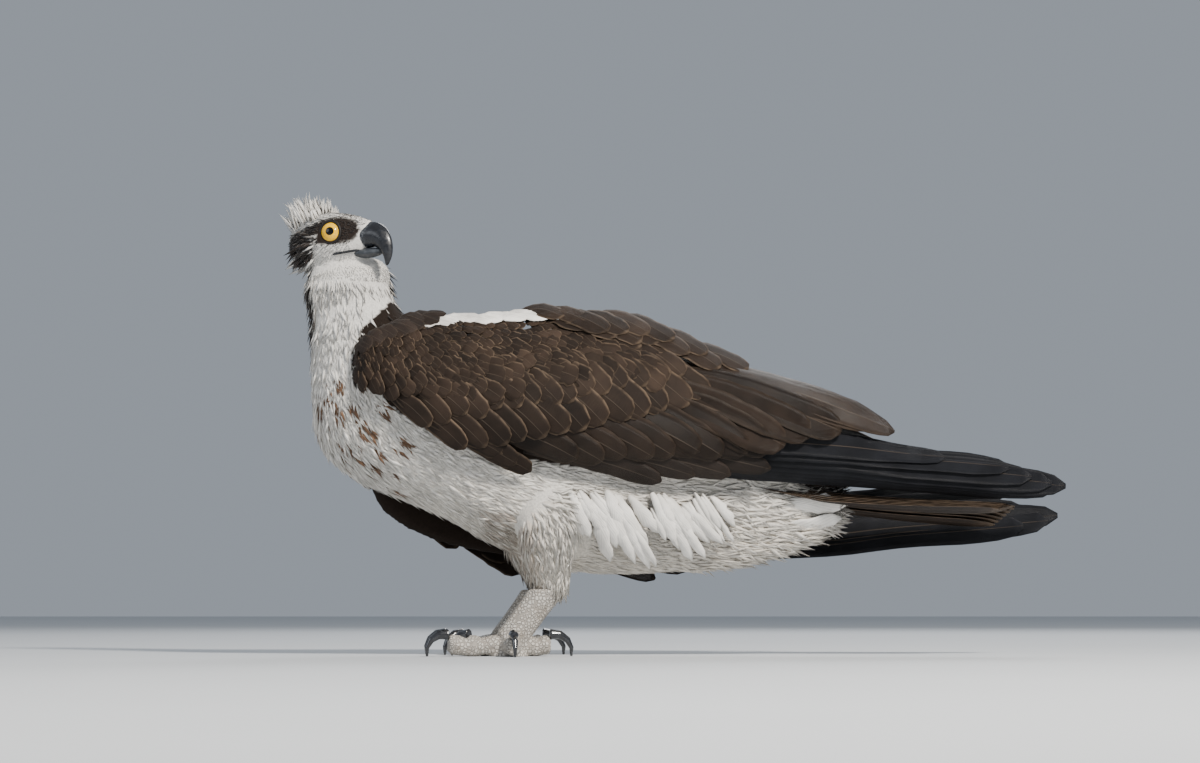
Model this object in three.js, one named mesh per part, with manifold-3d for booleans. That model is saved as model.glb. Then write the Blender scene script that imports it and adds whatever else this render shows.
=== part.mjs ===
// An osprey at rest on its feet: body level, neck raised, head turned back over its left side.
// Millimetres, +Z up. The bird faces -X, its left side is -Y, and the floor is the lowest level of its soles.
import * as THREE from "three";
import { LoftGeometry } from "three/addons/geometries/LoftGeometry.js";
import { mergeVertices } from "three/addons/utils/BufferGeometryUtils.js";
import Module from "manifold-3d";

const wasm = await Module();
wasm.setup();

// Driving dimensions
const GAP = 0.3; // clear space between neighbouring pieces
const LEFT = -1;
const RIGHT = 1;

// Trunk and neck, from the vent to the throat: each station runs from a point on the back to a point
// on the belly side, as [x, z], with the half width across.
const TRUNK = [
  { back: [214, 127], belly: [217, 86], half: 9 },
  { back: [190, 135], belly: [191, 72], half: 19 },
  { back: [153, 152], belly: [151, 60], half: 29 },
  { back: [121, 168], belly: [111, 56], half: 38 },
  { back: [83, 186], belly: [66, 54], half: 46 },
  { back: [41, 203], belly: [24, 58], half: 54 },
  { back: [3, 219], belly: [-17, 73], half: 59 },
  { back: [-31, 228], belly: [-55, 93], half: 61 },
  { back: [-57, 233], belly: [-88, 107], half: 59 },
  { back: [-71, 236], belly: [-116, 120], half: 54 },
  { back: [-79, 239], belly: [-135, 137], half: 48 },
  { back: [-83, 242], belly: [-143, 156], half: 42 },
  { back: [-85, 245], belly: [-145, 176], half: 37 },
  { back: [-87, 249], belly: [-146, 197], half: 33 },
  { back: [-88, 254], belly: [-147, 217], half: 30 },
  { back: [-88, 260], belly: [-148, 235], half: 28 },
  { back: [-90, 269], belly: [-151, 252], half: 27 },
  { back: [-103, 279], belly: [-149, 272], half: 20 },
];
const TRUNK_SIDES = 16;
const NECK_BASE = { point: [-116, 207], lean: [-0.69, 0.72] }; // the cut between trunk and neck
const NECK_TOP = { point: [-122, 259], lean: [0.1, 0.995] }; // the cut between neck and head
const VENT_CUT_X = 128; // the cut between trunk and vent

// Folded wing as the left one lies, seen from the side: lower edge, upper edge and widest place
const WING = [
  { x: -111, low: 192, lowOut: 44, high: 199, highOut: 43, wide: 45 },
  { x: -97, low: 164, lowOut: 52, high: 220, highOut: 46, wide: 60 },
  { x: -69, low: 142, lowOut: 57, high: 229, highOut: 42, wide: 70 },
  { x: -28, low: 127, lowOut: 59, high: 229, highOut: 35, wide: 75 },
  { x: 14, low: 120, lowOut: 57, high: 232, highOut: 27, wide: 76 },
  { x: 55, low: 116, lowOut: 53, high: 233, highOut: 20, wide: 73 },
  { x: 97, low: 112, lowOut: 47, high: 221, highOut: 15, wide: 66 },
  { x: 138, low: 110, lowOut: 41, high: 203, highOut: 12, wide: 57 },
  { x: 179, low: 109, lowOut: 36, high: 186, highOut: 11, wide: 49 },
  { x: 221, low: 109, lowOut: 31, high: 173, highOut: 11, wide: 41 },
  { x: 262, low: 109, lowOut: 27, high: 150, highOut: 12, wide: 33 },
  { x: 304, low: 108, lowOut: 23, high: 144, highOut: 12, wide: 27 },
  { x: 345, low: 107, lowOut: 19, high: 135, highOut: 12, wide: 21 },
  { x: 380, low: 106, lowOut: 16, high: 126, highOut: 12, wide: 17 },
];
const ARM_THICKNESS = 26;
const CORE_SIDES = 6;
const ARM_START_X = -108;
const ARM_END_X = 118;
const ARM_SECTIONS = 10;
const HAND_SECTIONS = 5;
const REACH = 200; // further than any part of the bird from the planes that cut it
const HAND = { startX: 56, topZ: 150, endX: 132, inner: 14, outer: 5 };
// How the right wing hangs: how much lower its lower and upper edges lie than on the left, how much
// further forward and how much further out
const HANG = [
  { x: -120, low: 68, high: 22, forward: 18, out: 1 },
  { x: -28, low: 68, high: 20, forward: 11, out: 2 },
  { x: 100, low: 66, high: 17, forward: 2, out: 5 },
  { x: 221, low: 59, high: 15, forward: 0, out: 12 },
  { x: 380, low: 23, high: 13, forward: 0, out: 19 },
];
const HANG_WIDER = 1.25; // how much broader its feathers are spread
const HANG_HAND = 52; // how much lower the top of its hand lies

// Tiers of wing feathers, as [x, z] on the side of the wing. Each runs from its first feather to its
// last, roots on one bowed line and tips on another, and each lies over the tier named before it.
const TIERS = {
  secondaries: {
    count: 6, roots: [[-26, 157], [80, 178]], tips: [[46, 131], [168, 139]],
    tipBow: -1, half: [11.5, 13], lift: [0.6, 2.0], slope: 0.12, rows: 3,
  },
  tertials: {
    count: 4, roots: [[70, 188], [100, 200]], tips: [[188, 141], [258, 151]],
    tipBow: 5, half: [14.5, 14.5], lift: [3.4, 5.6], slope: 0.1, rows: 3,
  },
  greaterCoverts: {
    count: 6, roots: [[-70, 166], [80, 196]], tips: [[-32, 145], [117, 175]],
    tipBow: -5, half: [13, 13], lift: [3.4, 4.6], slope: 0.08, rows: 3,
  },
  medianCoverts: {
    count: 5, roots: [[-80, 179], [70, 210]], tips: [[-52, 164], [98, 194]],
    tipBow: -4, half: [14.5, 14], lift: [5.2, 6.6], slope: 0.08, rows: 3,
  },
  primaryCoverts: {
    count: 4, roots: [[-84, 176], [-30, 139]], tips: [[-54, 160], [12, 124]],
    tipBow: -3, half: [10, 8.5], lift: [5.6, 2.6], slope: -0.05, rows: 3,
  },
  outerSecondaries: {
    count: 2, roots: [[12, 139], [34, 144]], tips: [[112, 117], [166, 126]],
    tipBow: 0, half: [8.5, 8], lift: [-1.8, -1.2], slope: 0.1, rows: 3,
  },
};
const COVERT_THICKNESS = 0.9;
const PRIMARIES = {
  tips: [[352, 113], [369, 114], [376, 117], [360, 121], [338, 130], [292, 137]],
  roots: [[66, 124], [66, 146]], half: 10.5, rootDepth: [-13.2, -6.2], tipDepth: [-9.6, -3.4],
  thickness: 0.8, rows: 4, narrower: 0.3,
};
const TAIL = {
  root: [146, 119], tip: [341, 102], pairs: 5, rootSpread: 2.9, tipSpread: 4.4, half: 13,
  thickness: 0.8, step: 0.69, roll: 0.2, shorter: 2.2, sag: 3, rows: 4,
  slot: [[144, -60, 100.5], [260, 60, 121]], rootRoom: [[126, -20, 100], [134, 20, 138]],
};
const TAIL_BLOCK = { centres: [[132, 119], [150, 117.5], [172, 114]], radii: [15, 14, 9], sides: 12 };
// Rows of soft feathers under the tail: where they root, how deep and wide the body is there
const PLUMES = {
  rows: [
    { x: 140, middleZ: 108, across: 31, deep: 44 },
    { x: 176, middleZ: 106, across: 22, deep: 31 },
  ],
  columns: 4, spread: 56, length: 48, half: 11, thickness: 1.3, sunk: 4, ruffle: 13, droop: 20,
};

// Head, built facing +X round its own centre, then turned and placed
const HEAD_PLACE = { at: [-128, -3, 286], turn: -35, nod: 3 }; // degrees
const SKULL = [
  { x: -35, top: 5, bottom: -7, half: 6 },
  { x: -31, top: 13, bottom: -15, half: 13 },
  { x: -23, top: 18.5, bottom: -21, half: 19 },
  { x: -12, top: 21, bottom: -24, half: 22.5 },
  { x: 0, top: 21, bottom: -23.5, half: 22.5 },
  { x: 10, top: 19.5, bottom: -21, half: 19.5 },
  { x: 18, top: 17, bottom: -18, half: 15 },
  { x: 25, top: 13.5, bottom: -16, half: 11.3 },
  { x: 32, top: 10, bottom: -14, half: 9 },
];
const SKULL_SIDES = 14;
const BILL_CUT_X = 25.5;
const BILL = [
  { x: 24, z: 1.0, high: 9.2, half: 8.8 },
  { x: 31, z: 0.6, high: 8.8, half: 7.8 },
  { x: 37, z: -0.8, high: 8.0, half: 6.7 },
  { x: 41.5, z: -4.2, high: 6.8, half: 5.5 },
  { x: 44.6, z: -9.6, high: 5.0, half: 4.2 },
  { x: 45.6, z: -15.5, high: 3.2, half: 2.8 },
  { x: 44.4, z: -22.5, high: 1.0, half: 0.9 },
];
const BILL_SIDES = 10;
const JAW = [
  { x: 24, z: -11.4, high: 4.4, half: 7.6 },
  { x: 32, z: -11.8, high: 3.8, half: 6.0 },
  { x: 38, z: -11.8, high: 3.0, half: 4.6 },
  { x: 42, z: -11.4, high: 1.8, half: 2.8 },
];
const EYE = { at: [8, 12.6, 3.2], radius: 8.4, opening: 6.5, lid: 1.3, forward: 0.28, rim: 19.6 };
const NOSTRIL = { at: [30, 7.4, 2.6], length: 3.2, width: 0.7 };
const CREST = {
  count: 8, rows: 3, length: 17, uneven: 3.5, half: 3.2, thickness: 1.5, bend: 6,
  first: [-12, 18], step: [-6.5, -4],
};

// Legs, left one first: hip, knee bulge and hock of the feathered shin, then the sole's centre
const LEGS = {
  left: { side: LEFT, hip: [28, 26, 126], shin: [20, 38, 84], hock: [23, 38, 46], sole: [-6, 40, 9] },
  right: { side: RIGHT, hip: [14, 25, 122], shin: [7, 36, 84], hock: [16, 37, 46], sole: [-12, 38, 9] },
};
const SHIN_HALF = [24, 25.5, 25, 22, 17.5, 13.5];
const SHIN_LOCK = { count: 6, from: -20, length: 24, away: 14, half: 5.4, thickness: 1.5 };
const TARSUS_HALF = [11.2, 10.6, 10, 10, 10.6];
const TARSUS_END_Z = 9.5;
const TOES = {
  inner: { heading: 34, length: 34, thick: 6.3 },
  middle: { heading: -12, length: 42, thick: 6.5 },
  outer: { heading: -96, length: 36, thick: 6.3 },
  hind: { heading: 172, length: 28, thick: 6.4 },
};
const TOE_CUT = 17; // from the sole's centre
const TOE_SHARES = [0, 0.3, 0.42, 0.6, 0.72, 0.88, 1];
const TOE_SWELL = [1.1, 1.02, 0.84, 1.04, 0.86, 1.06, 0.72]; // pads and joints along a toe
const TOE_HEIGHT = { share: 0.86, root: 2.2, lift: 5, liftFrom: 0.7 }; // the end of a toe lifts
const TOE_CLAW_CUT = 0.6;
const SOLE_PAD = { radius: 13, top: 9, height: 8, sides: 12 };
// A claw is an arc from its root in the toe to its tip on the floor, angles from straight up
const CLAW = {
  radius: 12, forward: 2.6, rootAngle: -38, tipAngle: 106, high: 3.0, thick: 3.9, tip: 0.7, sections: 5,
};

const COLOURS = {
  white: { color: 0xe9e4da, roughness: 0.9, metalness: 0 },
  brown: { color: 0x3d3029, roughness: 0.75, metalness: 0 },
  black: { color: 0x1a1a1e, roughness: 0.6, metalness: 0 },
  horn: { color: 0x1d2024, roughness: 0.3, metalness: 0 },
  iris: { color: 0xf2c010, roughness: 0.1, metalness: 0 },
  scales: { color: 0xcfc9bf, roughness: 0.7, metalness: 0 },
  tail: { color: 0x4a3c31, roughness: 0.75, metalness: 0 },
};

const vec = (x, y, z) => new THREE.Vector3(x, y, z);
const lerp = THREE.MathUtils.lerp;
const degrees = THREE.MathUtils.degToRad;

// A repeatable draw between -1 and 1
let seed = 7;
function draw() {
  seed = (seed * 16807) % 2147483647;
  return (seed / 2147483647) * 2 - 1;
}

// A closed solid from a geometry, its faces turned outwards
function solidFrom(geometry) {
  const bare = new THREE.BufferGeometry();
  bare.setAttribute("position", geometry.getAttribute("position"));
  bare.setIndex(geometry.getIndex());
  const merged = mergeVertices(bare, 1e-4);
  const vertProperties = new Float32Array(merged.attributes.position.array);
  const triVerts = new Uint32Array(merged.index.array);
  const made = new wasm.Manifold(new wasm.Mesh({ numProp: 3, vertProperties, triVerts }));
  if (made.volume() > 0) return made;
  for (let i = 0; i < triVerts.length; i += 3) {
    [triVerts[i + 1], triVerts[i + 2]] = [triVerts[i + 2], triVerts[i + 1]];
  }
  return new wasm.Manifold(new wasm.Mesh({ numProp: 3, vertProperties, triVerts }));
}

const join = (solids) => wasm.Manifold.union(solids);

// The largest closed surface of a solid
function mainBody(solid) {
  const bodies = solid.decompose();
  return bodies.reduce((best, body) => (body.volume() > best.volume() ? body : best));
}

function middleOf(points) {
  return points.reduce((sum, point) => sum.add(point), vec(0, 0, 0)).divideScalar(points.length);
}

// A closed solid through sections, whose points may run either way round
function loft(sections) {
  const way = middleOf(sections[1]).sub(middleOf(sections[0]));
  const centre = middleOf(sections[0]);
  const turning = vec(0, 0, 0);
  sections[0].forEach((point, i) => {
    const next = sections[0][(i + 1) % sections[0].length];
    turning.add(point.clone().sub(centre).cross(next.clone().sub(centre)));
  });
  const ordered = turning.dot(way) > 0 ? sections : sections.map((section) => [...section].reverse());
  return solidFrom(new LoftGeometry(ordered, { capStart: true, capEnd: true }));
}

// A ring round a centre, from two half axes, a little squarer than an ellipse
function ring(centre, across, up, sides, square = 0.92) {
  return Array.from({ length: sides }, (_, i) => {
    const angle = (i / sides) * Math.PI * 2;
    const c = Math.cos(angle);
    const s = Math.sin(angle);
    return centre
      .clone()
      .addScaledVector(across, Math.sign(c) * Math.abs(c) ** square)
      .addScaledVector(up, Math.sign(s) * Math.abs(s) ** square);
  });
}

// A round limb along a path of centres, with a radius for each
function limb(centres, radii, sides) {
  const path = new THREE.CatmullRomCurve3(centres);
  const last = centres.length - 1;
  return loft(
    centres.map((centre, i) => {
      const along = path.getTangent(i / last);
      const across = vec(0, 1, 0).cross(along).lengthSq() > 0.2 ? vec(0, 1, 0) : vec(1, 0, 0);
      const up = along.clone().cross(across).normalize();
      const side = up.clone().cross(along).normalize();
      return ring(centre, side.multiplyScalar(radii[i]), up.multiplyScalar(radii[i]), sides, 1);
    }),
  );
}

// The half of a solid on one side of a plane in X and Z, kept clear of the plane by half a gap
function halfOf(solid, cut, sign) {
  const [nx, nz] = cut.lean;
  const offset = cut.point[0] * nx + cut.point[1] * nz;
  return solid.trimByPlane([nx * sign, 0, nz * sign], offset * sign + GAP / 2);
}

// Smooth value of one column of a table at x
function tableAt(table, key, x) {
  const last = table.length - 1;
  let i = table.findIndex((row) => row.x > x) - 1;
  if (i === -2) i = last - 1;
  if (i < 0) i = 0;
  const slope = (k) => {
    const a = table[Math.max(0, k - 1)];
    const b = table[Math.min(last, k + 1)];
    return (b[key] - a[key]) / (b.x - a.x);
  };
  const [p, q] = [table[i], table[i + 1]];
  const h = q.x - p.x;
  const t = THREE.MathUtils.clamp((x - p.x) / h, 0, 1);
  const t2 = t * t;
  const t3 = t2 * t;
  return (
    (2 * t3 - 3 * t2 + 1) * p[key] + (t3 - 2 * t2 + t) * h * slope(i) +
    (3 * t2 - 2 * t3) * q[key] + (t3 - t2) * h * slope(i + 1)
  );
}

// A point on the outside of the wing, before it is put on its side: q runs from lower to upper edge
function wingPoint(x, q) {
  const low = tableAt(WING, "low", x);
  const high = tableAt(WING, "high", x);
  const lowOut = tableAt(WING, "lowOut", x);
  const highOut = tableAt(WING, "highOut", x);
  const wide = tableAt(WING, "wide", x);
  const middleOut = 2 * wide - (lowOut + highOut) / 2;
  const middle = lerp(low, high, 0.62);
  const a = (1 - q) ** 2;
  const b = 2 * q * (1 - q);
  const c = q * q;
  return vec(x, a * lowOut + b * middleOut + c * highOut, a * low + b * middle + c * high);
}

function wingNormal(x, q) {
  const along = wingPoint(x + 2, q).sub(wingPoint(x - 2, q));
  const up = wingPoint(x, Math.min(1.02, q + 0.02)).sub(wingPoint(x, q - 0.02));
  return up.cross(along).normalize();
}

// The share of the way up the wing at which it has height z
function shareAt(x, z) {
  let [low, high] = [0, 1];
  for (let i = 0; i < 20; i++) {
    const middle = (low + high) / 2;
    if (wingPoint(x, middle).z < z) low = middle;
    else high = middle;
  }
  return THREE.MathUtils.clamp((low + high) / 2, 0.02, 0.98);
}

// Puts a point of the wing on its side of the body; the right wing hangs lower and further out
function onSide(point, side) {
  if (side === LEFT) return vec(point.x, -point.y, point.z);
  const low = tableAt(WING, "low", point.x);
  const high = tableAt(WING, "high", point.x);
  const share = THREE.MathUtils.clamp((point.z - low) / (high - low), 0, 1);
  const hang = (key) => tableAt(HANG, key, point.x);
  const drop = lerp(hang("low"), hang("high"), share);
  return vec(point.x - hang("forward"), point.y + hang("out"), point.z - drop);
}

// Outline of a feather: its half width as a share of the widest
function featherWidth(t) {
  const root = 0.45 + 0.55 * Math.min(1, t / 0.4) ** 0.8;
  const tip = t < 0.68 ? 1 : Math.sqrt(Math.max(0, 1 - ((t - 0.68) / 0.335) ** 2));
  return root * Math.max(0.22, tip);
}

// A thin feather along a path; frameAt gives the place, the outward normal and the way along
function vane({ frameAt, half, thickness, rows, tilt = 0 }) {
  const points = [];
  const layer = (rows + 1) * 2;
  for (const face of [1, -1]) {
    for (let i = 0; i <= rows; i++) {
      const t = 1 - (1 - i / rows) ** 1.35;
      const { place, normal, along } = frameAt(t);
      const side = normal.clone().cross(along).normalize();
      for (const s of [-1, 1]) {
        const rise = tilt * s + (face * thickness * (1 - 0.4 * t)) / 2;
        const out = half * featherWidth(t) * s;
        points.push(...place.clone().addScaledVector(side, out).addScaledVector(normal, rise).toArray());
      }
    }
  }
  const index = [];
  for (let i = 0; i < layer - 2; i += 2) {
    index.push(i, i + 2, i + 3, i, i + 3, i + 1);
    index.push(layer + i, layer + i + 3, layer + i + 2, layer + i, layer + i + 1, layer + i + 3);
  }
  const rim = [];
  for (let i = 0; i < layer; i += 2) rim.push(i);
  for (let i = layer - 1; i > 0; i -= 2) rim.push(i);
  rim.forEach((a, k) => {
    const b = rim[(k + 1) % rim.length];
    index.push(a, layer + a, layer + b, a, layer + b, b);
  });
  const geometry = new THREE.BufferGeometry();
  geometry.setAttribute("position", new THREE.Float32BufferAttribute(points, 3));
  geometry.setIndex(index);
  return solidFrom(geometry);
}

// A feather on the wing from a root to a tip, at heights above the wing's surface
function wingFeather({ root, tip, half, rootLift, tipLift, thickness, rows, slope, side }) {
  const broad = side === RIGHT ? half * HANG_WIDER : half;
  const onWing = (t) => {
    const x = lerp(root[0], tip[0], t);
    const z = lerp(root[1], tip[1], t) + 5 * Math.sin(Math.PI * t);
    const q = shareAt(x, z);
    const lift = lerp(rootLift, tipLift, Math.sin((Math.min(1, t * 1.6) * Math.PI) / 2));
    return onSide(wingPoint(x, q).addScaledVector(wingNormal(x, q), lift), side);
  };
  const frameAt = (t) => {
    const place = onWing(t);
    const along = onWing(Math.min(1, t + 0.03)).sub(onWing(Math.max(0, t - 0.03))).normalize();
    const x = lerp(root[0], tip[0], t);
    const q = shareAt(x, lerp(root[1], tip[1], t));
    const normal = onSide(wingNormal(x, q).multiplyScalar(0.01).add(wingPoint(x, q)), side)
      .sub(onSide(wingPoint(x, q), side))
      .normalize();
    normal.addScaledVector(along, -normal.dot(along)).normalize();
    return { place, normal, along };
  };
  return vane({ frameAt, half: broad, thickness, rows, tilt: slope * half * side });
}

function tierOfFeathers(tier, side) {
  const feathers = [];
  for (let i = 0; i < tier.count; i++) {
    const t = i / (tier.count - 1);
    const bow = Math.sin(Math.PI * t) * tier.tipBow;
    const between = (line) => [lerp(line[0][0], line[1][0], t), lerp(line[0][1], line[1][1], t)];
    const root = between(tier.roots);
    const tip = between(tier.tips);
    tip[0] += 1.5 * draw();
    tip[1] += bow + 1.2 * draw();
    const lift = lerp(tier.lift[0], tier.lift[1], t);
    feathers.push(
      wingFeather({
        root, tip, side, half: lerp(tier.half[0], tier.half[1], t), rootLift: -3.5, tipLift: lift,
        thickness: COVERT_THICKNESS, rows: tier.rows, slope: tier.slope,
      }),
    );
  }
  return feathers;
}

function trunkSection(station, grow) {
  const back = vec(station.back[0], 0, station.back[1]);
  const belly = vec(station.belly[0], 0, station.belly[1]);
  const up = back.clone().sub(belly).multiplyScalar(0.5);
  up.setLength(up.length() + grow);
  const centre = back.add(belly).multiplyScalar(0.5);
  return ring(centre, vec(0, station.half + grow, 0), up, TRUNK_SIDES);
}

const trunkSolid = (grow) => loft(TRUNK.map((station) => trunkSection(station, grow)));

// The bare arm of the folded wing, with its inner side cut to lie on the trunk
function wingCore(side, fromX, toX, outer, inner, steps) {
  const sections = [];
  for (let i = 0; i <= steps; i++) {
    const x = lerp(fromX, toX, i / steps);
    const end = Math.min(1, 0.35 + 0.65 * Math.sin(Math.PI * Math.min(0.5, (i + 0.3) / 4)));
    const at = (q, depth) =>
      onSide(wingPoint(x, q).addScaledVector(wingNormal(x, q), -depth), side);
    const section = [];
    for (let k = 0; k <= CORE_SIDES; k++) section.push(at(k / CORE_SIDES, outer));
    for (let k = CORE_SIDES - 1; k >= 1; k--) {
      section.push(at(k / CORE_SIDES, outer + (inner - outer) * end));
    }
    sections.push(section);
  }
  return loft(sections);
}

function boxSolid(low, high) {
  const size = vec(...high).sub(vec(...low));
  const geometry = new THREE.BoxGeometry(size.x, size.y, size.z);
  geometry.translate((low[0] + high[0]) / 2, (low[1] + high[1]) / 2, (low[2] + high[2]) / 2);
  return solidFrom(geometry);
}

// The level at which the arm ends and the hand begins below it
const handTop = (side) => HAND.topZ - (side === RIGHT ? HANG_HAND : 0);

function wingArm(side, bodyRoom) {
  const core = wingCore(side, ARM_START_X, ARM_END_X, 0, ARM_THICKNESS, ARM_SECTIONS)
    .subtract(boxSolid([HAND.startX, -REACH, 0], [ARM_END_X + REACH, REACH, handTop(side)]));
  const tiers = Object.values(TIERS).flatMap((tier) => tierOfFeathers(tier, side));
  return mainBody(join([core, ...tiers]).subtract(bodyRoom));
}

function wingHand(side, bodyRoom) {
  const high = handTop(side) - GAP;
  const block = wingCore(side, HAND.startX - 6, HAND.endX + 6, HAND.outer, HAND.inner, HAND_SECTIONS)
    .intersect(boxSolid([HAND.startX + GAP, -REACH, 0], [HAND.endX, REACH, high]));
  const last = PRIMARIES.tips.length - 1;
  const feathers = PRIMARIES.tips.map((tip, i) => {
    const t = i / last;
    const root = [
      lerp(PRIMARIES.roots[0][0], PRIMARIES.roots[1][0], t),
      lerp(PRIMARIES.roots[0][1], PRIMARIES.roots[1][1], t),
    ];
    return wingFeather({
      root, tip, side, half: PRIMARIES.half - i * PRIMARIES.narrower, slope: 0, thickness: PRIMARIES.thickness,
      rootLift: lerp(...PRIMARIES.rootDepth, t), tipLift: lerp(...PRIMARIES.tipDepth, t),
      rows: PRIMARIES.rows,
    });
  });
  const above = boxSolid([HAND.startX - 10, -REACH, high], [ARM_END_X + 10, REACH, 2 * REACH]);
  return mainBody(join([block, ...feathers]).subtract(join([bodyRoom, above])));
}

function tailBlock(grow) {
  const centres = TAIL_BLOCK.centres.map(([x, z]) => vec(x, 0, z));
  return limb(centres, TAIL_BLOCK.radii.map((radius) => radius + grow), TAIL_BLOCK.sides);
}

// The tail, rolled a little so that its left edge is the higher
function tailFeathers() {
  const block = tailBlock(0);
  const feathers = [];
  for (let i = 0; i < TAIL.pairs; i++) {
    for (const side of [LEFT, RIGHT]) {
      const layer = (i * 2 + (side === RIGHT ? 1 : 0)) * TAIL.step;
      const frameAt = (t) => {
        const spread = lerp(TAIL.rootSpread, TAIL.tipSpread, t) * (i + 0.5) * side;
        const x = lerp(TAIL.root[0], TAIL.tip[0] - i * TAIL.shorter, t);
        const z = lerp(TAIL.root[1], TAIL.tip[1], t) - TAIL.sag * Math.sin(Math.PI * t) - layer * Math.min(1, t * 3);
        const place = vec(x, spread, z - spread * TAIL.roll * t);
        const normal = vec(0.09, TAIL.roll * t, 1).normalize();
        const along = vec(1, 0.01 * side, -0.09).normalize();
        return { place, normal, along };
      };
      feathers.push(vane({ frameAt, half: TAIL.half, thickness: TAIL.thickness, rows: TAIL.rows }));
    }
  }
  return join([block, ...feathers]);
}

// Soft white feathers under the tail base, rooted in the vent and lying back along it
function ventFeathers() {
  return PLUMES.rows.flatMap(({ x, middleZ, across, deep }) =>
    Array.from({ length: PLUMES.columns }, (_, k) => {
      const angle = degrees(lerp(-PLUMES.spread, PLUMES.spread, k / (PLUMES.columns - 1)));
      const out = vec(0, Math.sin(angle), -Math.cos(angle));
      const length = PLUMES.length * (1 + 0.12 * draw());
      const frameAt = (t) => {
        const away = PLUMES.ruffle * t - PLUMES.sunk - PLUMES.droop * t * t;
        return {
          place: vec(x + t * length, out.y * (across + away), middleZ + out.z * (deep + away)),
          normal: out.clone(),
          along: vec(1, 0, 0),
        };
      };
      return vane({ frameAt, half: PLUMES.half, thickness: PLUMES.thickness, rows: 3 });
    }),
  );
}

// Head pieces are made in the head's own frame and moved by this matrix
const headMatrix = new THREE.Matrix4()
  .makeTranslation(...HEAD_PLACE.at)
  .multiply(new THREE.Matrix4().makeRotationZ(degrees(HEAD_PLACE.turn)))
  .multiply(new THREE.Matrix4().makeRotationY(degrees(-HEAD_PLACE.nod)));
const toWorld = (solid) => solid.transform(headMatrix.toArray());

const skullSection = (s) =>
  ring(
    vec(s.x, 0, (s.top + s.bottom) / 2), vec(0, s.half, 0), vec(0, 0, (s.top - s.bottom) / 2), SKULL_SIDES, 0.95,
  );

function eyeSolid(side, radius) {
  const ball = new THREE.SphereGeometry(radius, 12, 8);
  ball.translate(EYE.at[0], EYE.at[1] * side, EYE.at[2]);
  return solidFrom(ball);
}

// The way an eye looks, as a turn of +Z on to it
function eyeTurn(side) {
  const look = vec(EYE.forward, side, 0.05).normalize();
  return new THREE.Quaternion().setFromUnitVectors(vec(0, 0, 1), look);
}

function lidRing(side) {
  const torus = new THREE.TorusGeometry(EYE.opening + 0.9, EYE.lid, 5, 12);
  torus.applyQuaternion(eyeTurn(side));
  torus.translate(EYE.at[0] + EYE.forward * 5.4, EYE.rim * side, EYE.at[2] + 0.3);
  return solidFrom(torus);
}

function socket(side) {
  const hole = new THREE.CylinderGeometry(EYE.opening + 1.4, EYE.opening, 12, 12);
  hole.rotateX(Math.PI / 2);
  hole.translate(0, 0, 11.5);
  hole.applyQuaternion(eyeTurn(side));
  hole.translate(EYE.at[0], EYE.at[1] * side, EYE.at[2]);
  return solidFrom(hole);
}

// White feathers raised at the back of the crown, in a fan of tapered locks that bend back
function crestLocks() {
  return Array.from({ length: CREST.count }, (_, i) => {
    const row = i % CREST.rows;
    const across = lerp(-1, 1, (i + 0.5) / CREST.count);
    const root = vec(
      CREST.first[0] + CREST.step[0] * row, 14 * across,
      CREST.first[1] + CREST.step[1] * row - 3.5 * across * across,
    );
    const way = vec(-0.3 - 0.28 * row + 0.15 * draw(), 0.3 * across, 0.95 - 0.2 * row).normalize();
    const back = vec(-0.9, 0.3 * across, -0.3).normalize();
    const length = CREST.length + CREST.uneven * draw();
    const frameAt = (t) => {
      const along = way.clone().addScaledVector(back, (2 * CREST.bend * t) / length).normalize();
      const place = root.clone().addScaledVector(way, (t - 0.2) * length);
      place.addScaledVector(back, CREST.bend * t * t);
      const normal = vec(0, 1, 0).cross(along).normalize();
      return { place, normal, along };
    };
    return vane({ frameAt, half: CREST.half, thickness: CREST.thickness, rows: 3 });
  });
}

function billSections(rows, grow = 0) {
  const path = new THREE.CatmullRomCurve3(rows.map((row) => vec(row.x, 0, row.z)));
  return rows.map((row, i) => {
    const along = path.getTangent(i / (rows.length - 1));
    const up = vec(0, 1, 0).cross(along).multiplyScalar(-1).normalize();
    return ring(
      vec(row.x, 0, row.z), vec(0, row.half + grow, 0), up.multiplyScalar(row.high + grow), BILL_SIDES, 1,
    );
  });
}

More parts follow.
